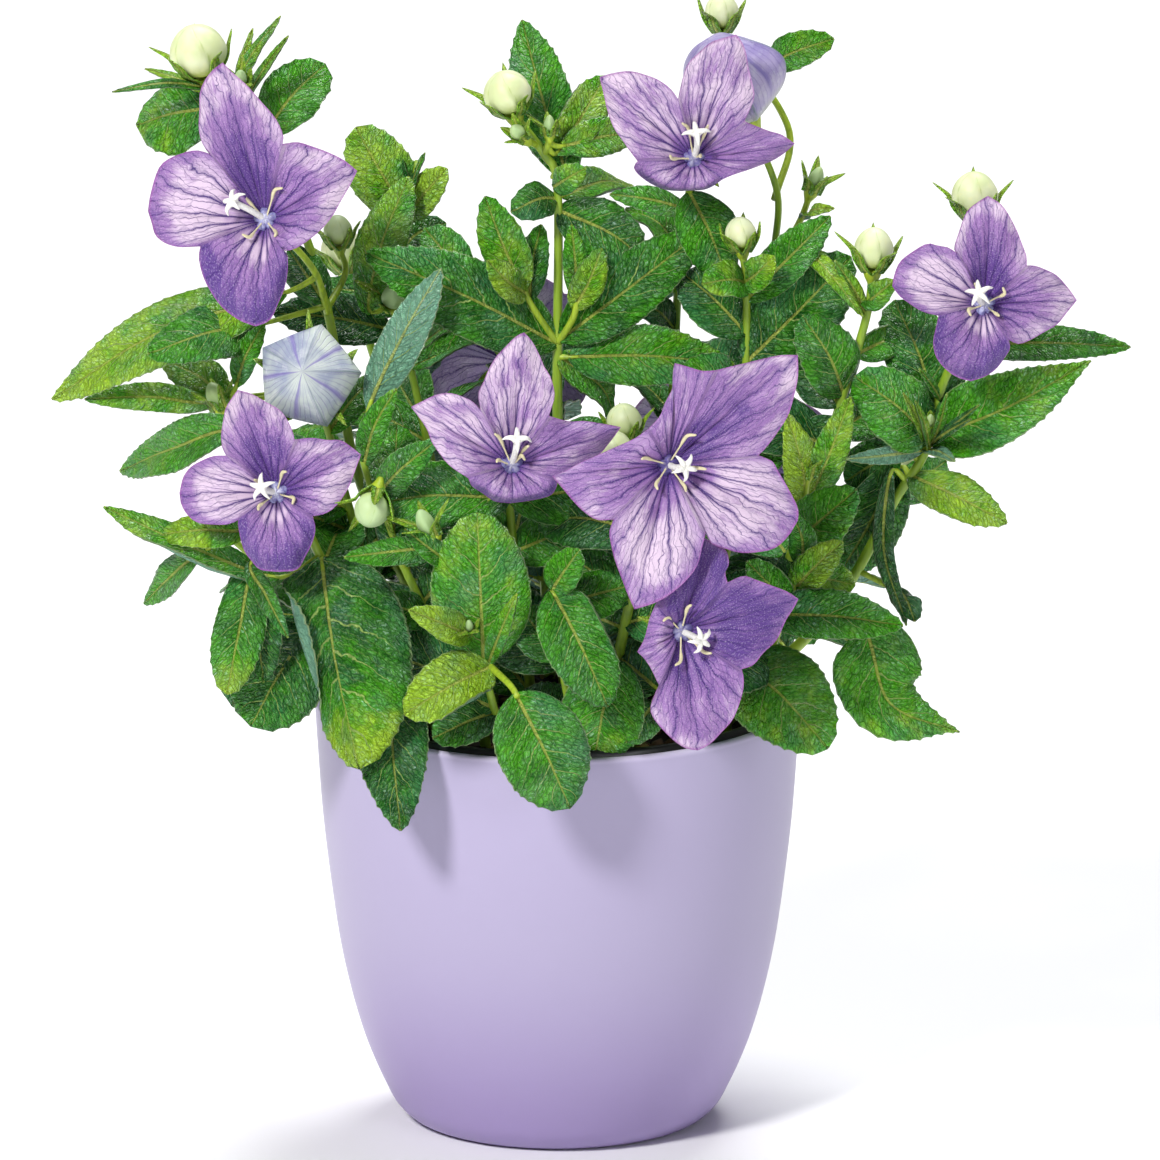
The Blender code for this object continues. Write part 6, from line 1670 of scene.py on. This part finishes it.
add_flower("front_large", [
    ("even", [(11, 23), (8, 23), (5, 24)], [(1.5, 25), (1, 22), (1, 19), (-1, 15), (-2.5, 11.5)]),
    ("even", [(-6, 8), (-9, 6), (-13.5, 4), (-18, 2), (-22.5, 0), (-26, -2)],
     [(-29, -3), (-26.5, -6), (-24, -9), (-21, -12), (-18, -14)]),
    ("pale", [(-14, -14), (-15, -17), (-14.5, -20), (-13.5, -24), (-12, -28), (-10.5, -31.5)],
     [(-8.5, -36), (-5, -35), (-1.5, -33.5), (2, -31), (5, -28), (7, -25), (8, -21)]),
    ("pale", [(9, -17), (10.5, -20), (13.5, -21), (17, -22), (21, -22), (26, -21), (29.5, -18)],
     [(32, -14), (32, -11), (29.5, -6), (27, -2), (25.5, 0.5)]),
    ("violet", [(22, 2), (24, 4), (27, 8), (29.5, 12), (31, 17), (32, 22)],
     [(32, 27), (28, 27), (23, 26), (19, 25), (15, 24)]),
], bell=8, curl=4, stigma=(3.5, -1, 5, 0.5),
   stamens=[(6.5, 7), (-7, 1), (-3, -6.5), (9, -1.5), (4, -7)], seed=4, dusk=0.9)
add_flower("front_low", [
    ("deep", [(11, 12.5), (10.5, 15), (11.5, 17), (11, 20), (8.5, 21.5)],
     [(6, 23), (3, 20), (0, 16), (-3, 12)]),
    ("even", [(-7, 7), (-8, 4), (-8.5, 1), (-9.5, -2.5)], [(-11, -5), (-9, -7), (-7.5, -9.5)]),
    ("violet", [(-6, -13), (-7, -15.5), (-8, -19), (-7, -21.5), (-5, -24), (-2, -27), (1, -29)],
     [(4, -29.5), (7, -28), (10, -25), (12.5, -22), (14, -18), (15, -14), (15, -11)]),
    ("deep", [(14.5, -9), (17.5, -8), (20, -5), (23.5, -2), (26, 3), (28, 6)],
     [(29, 8), (26, 10), (22, 11.5), (18, 13), (15, 14)]),
], bell=7, curl=4, stigma=(4, -1.5, 5, 0.2),
   stamens=[(-5, 3), (2, 7), (-2, -8), (7, -5)], seed=5, dusk=0.5)
add_flower("top_right", [
    ("blotched", [(12.5, 10), (14, 13), (15, 16), (14.5, 19), (13.5, 23), (13, 26), (12, 29)],
     [(10.5, 31), (7, 30), (4, 29), (1, 26.5), (-1.5, 24), (-3, 20)]),
    ("blotched", [(-4, 15.5), (-6, 18), (-9, 20), (-12, 21), (-16, 22), (-20, 21.5)],
     [(-23.5, 20.5), (-22.5, 16.5), (-21.5, 12), (-20, 8), (-18.5, 6), (-16, 2.5)]),
    ("rolled", [(-14, 0), (-15, -1.5), (-14, -3.5), (-11, -6), (-7, -8)],
     [(-3, -8.5), (1, -8), (4, -7)]),
    ("even", [(7, -4.5), (9.5, -3.5), (13, -2.5), (16, -1.5), (20, 0), (23, 2)],
     [(25, 4), (22, 6), (19, 7), (15.5, 8.5)]),
], bell=8, curl=5, stigma=(0.5, 7, 4, 0.4),
   stamens=[(-3, 9.5), (3.5, 9), (-6, 1.5), (1.5, 1)], seed=6, dusk=0.5)
add_flower("right", [
    ("dark foot", [(10, 9.5), (10, 12), (9, 15), (8, 18), (6, 22), (4, 25)],
     [(1, 27), (-1.5, 25.5), (-4, 23.5), (-5.5, 21), (-7, 17), (-8, 14)]),
    ("pale heart", [(-7.5, 12.5), (-9.5, 14), (-12, 14.5), (-14.5, 15), (-18, 13), (-21, 10.5),
                    (-22.5, 7)],
     [(-23, 4.5), (-21, 2), (-18.5, 0), (-15.5, -2)]),
    ("pale foot", [(-12, -3), (-12.5, -6), (-13, -9.5), (-12, -13), (-9.5, -16), (-6.5, -18)],
     [(-3, -19), (0, -18), (3, -16), (5, -13), (6, -11)]),
    ("dusky foot", [(5.5, -9), (8, -10), (11, -9), (14.5, -7), (18, -5), (20.5, -2)],
     [(23, 1), (21, 4), (18, 7), (15, 8.5), (12, 9.5)]),
], bell=7, curl=5, stigma=(-2, 2.5, 5, 0.1), stamens=[(4, 4), (-4, -3), (3, -3), (-3, 5)], seed=7)

BACK_LOBES = [("pale heart", [(9, 12), (13, 16), (12, 21), (6, 26)],
               [(0, 28.5), (-6, 26), (-12, 21), (-13, 16)])]
for k in range(1, 5):
    c, s = math.cos(math.tau * k / 5), math.sin(math.tau * k / 5)
    BACK_LOBES.append((("even", "violet")[k % 2],
                       *[[(x * c - v * s, x * s + v * c) for x, v in part]
                         for part in BACK_LOBES[0][1:3]]))
add_flower("back_centre", BACK_LOBES, bell=8, curl=4, stigma=(1, 2, 5, 0.2),
           stamens=[(5, 5), (-6, 3), (-2, -7), (7, -3)], seed=8)
add_flower("back_right", BACK_LOBES, bell=8, curl=4, stigma=(-1, 2, 5, 0.6),
           stamens=[(6, 3), (-5, 5), (-4, -6), (4, -6)], seed=9)
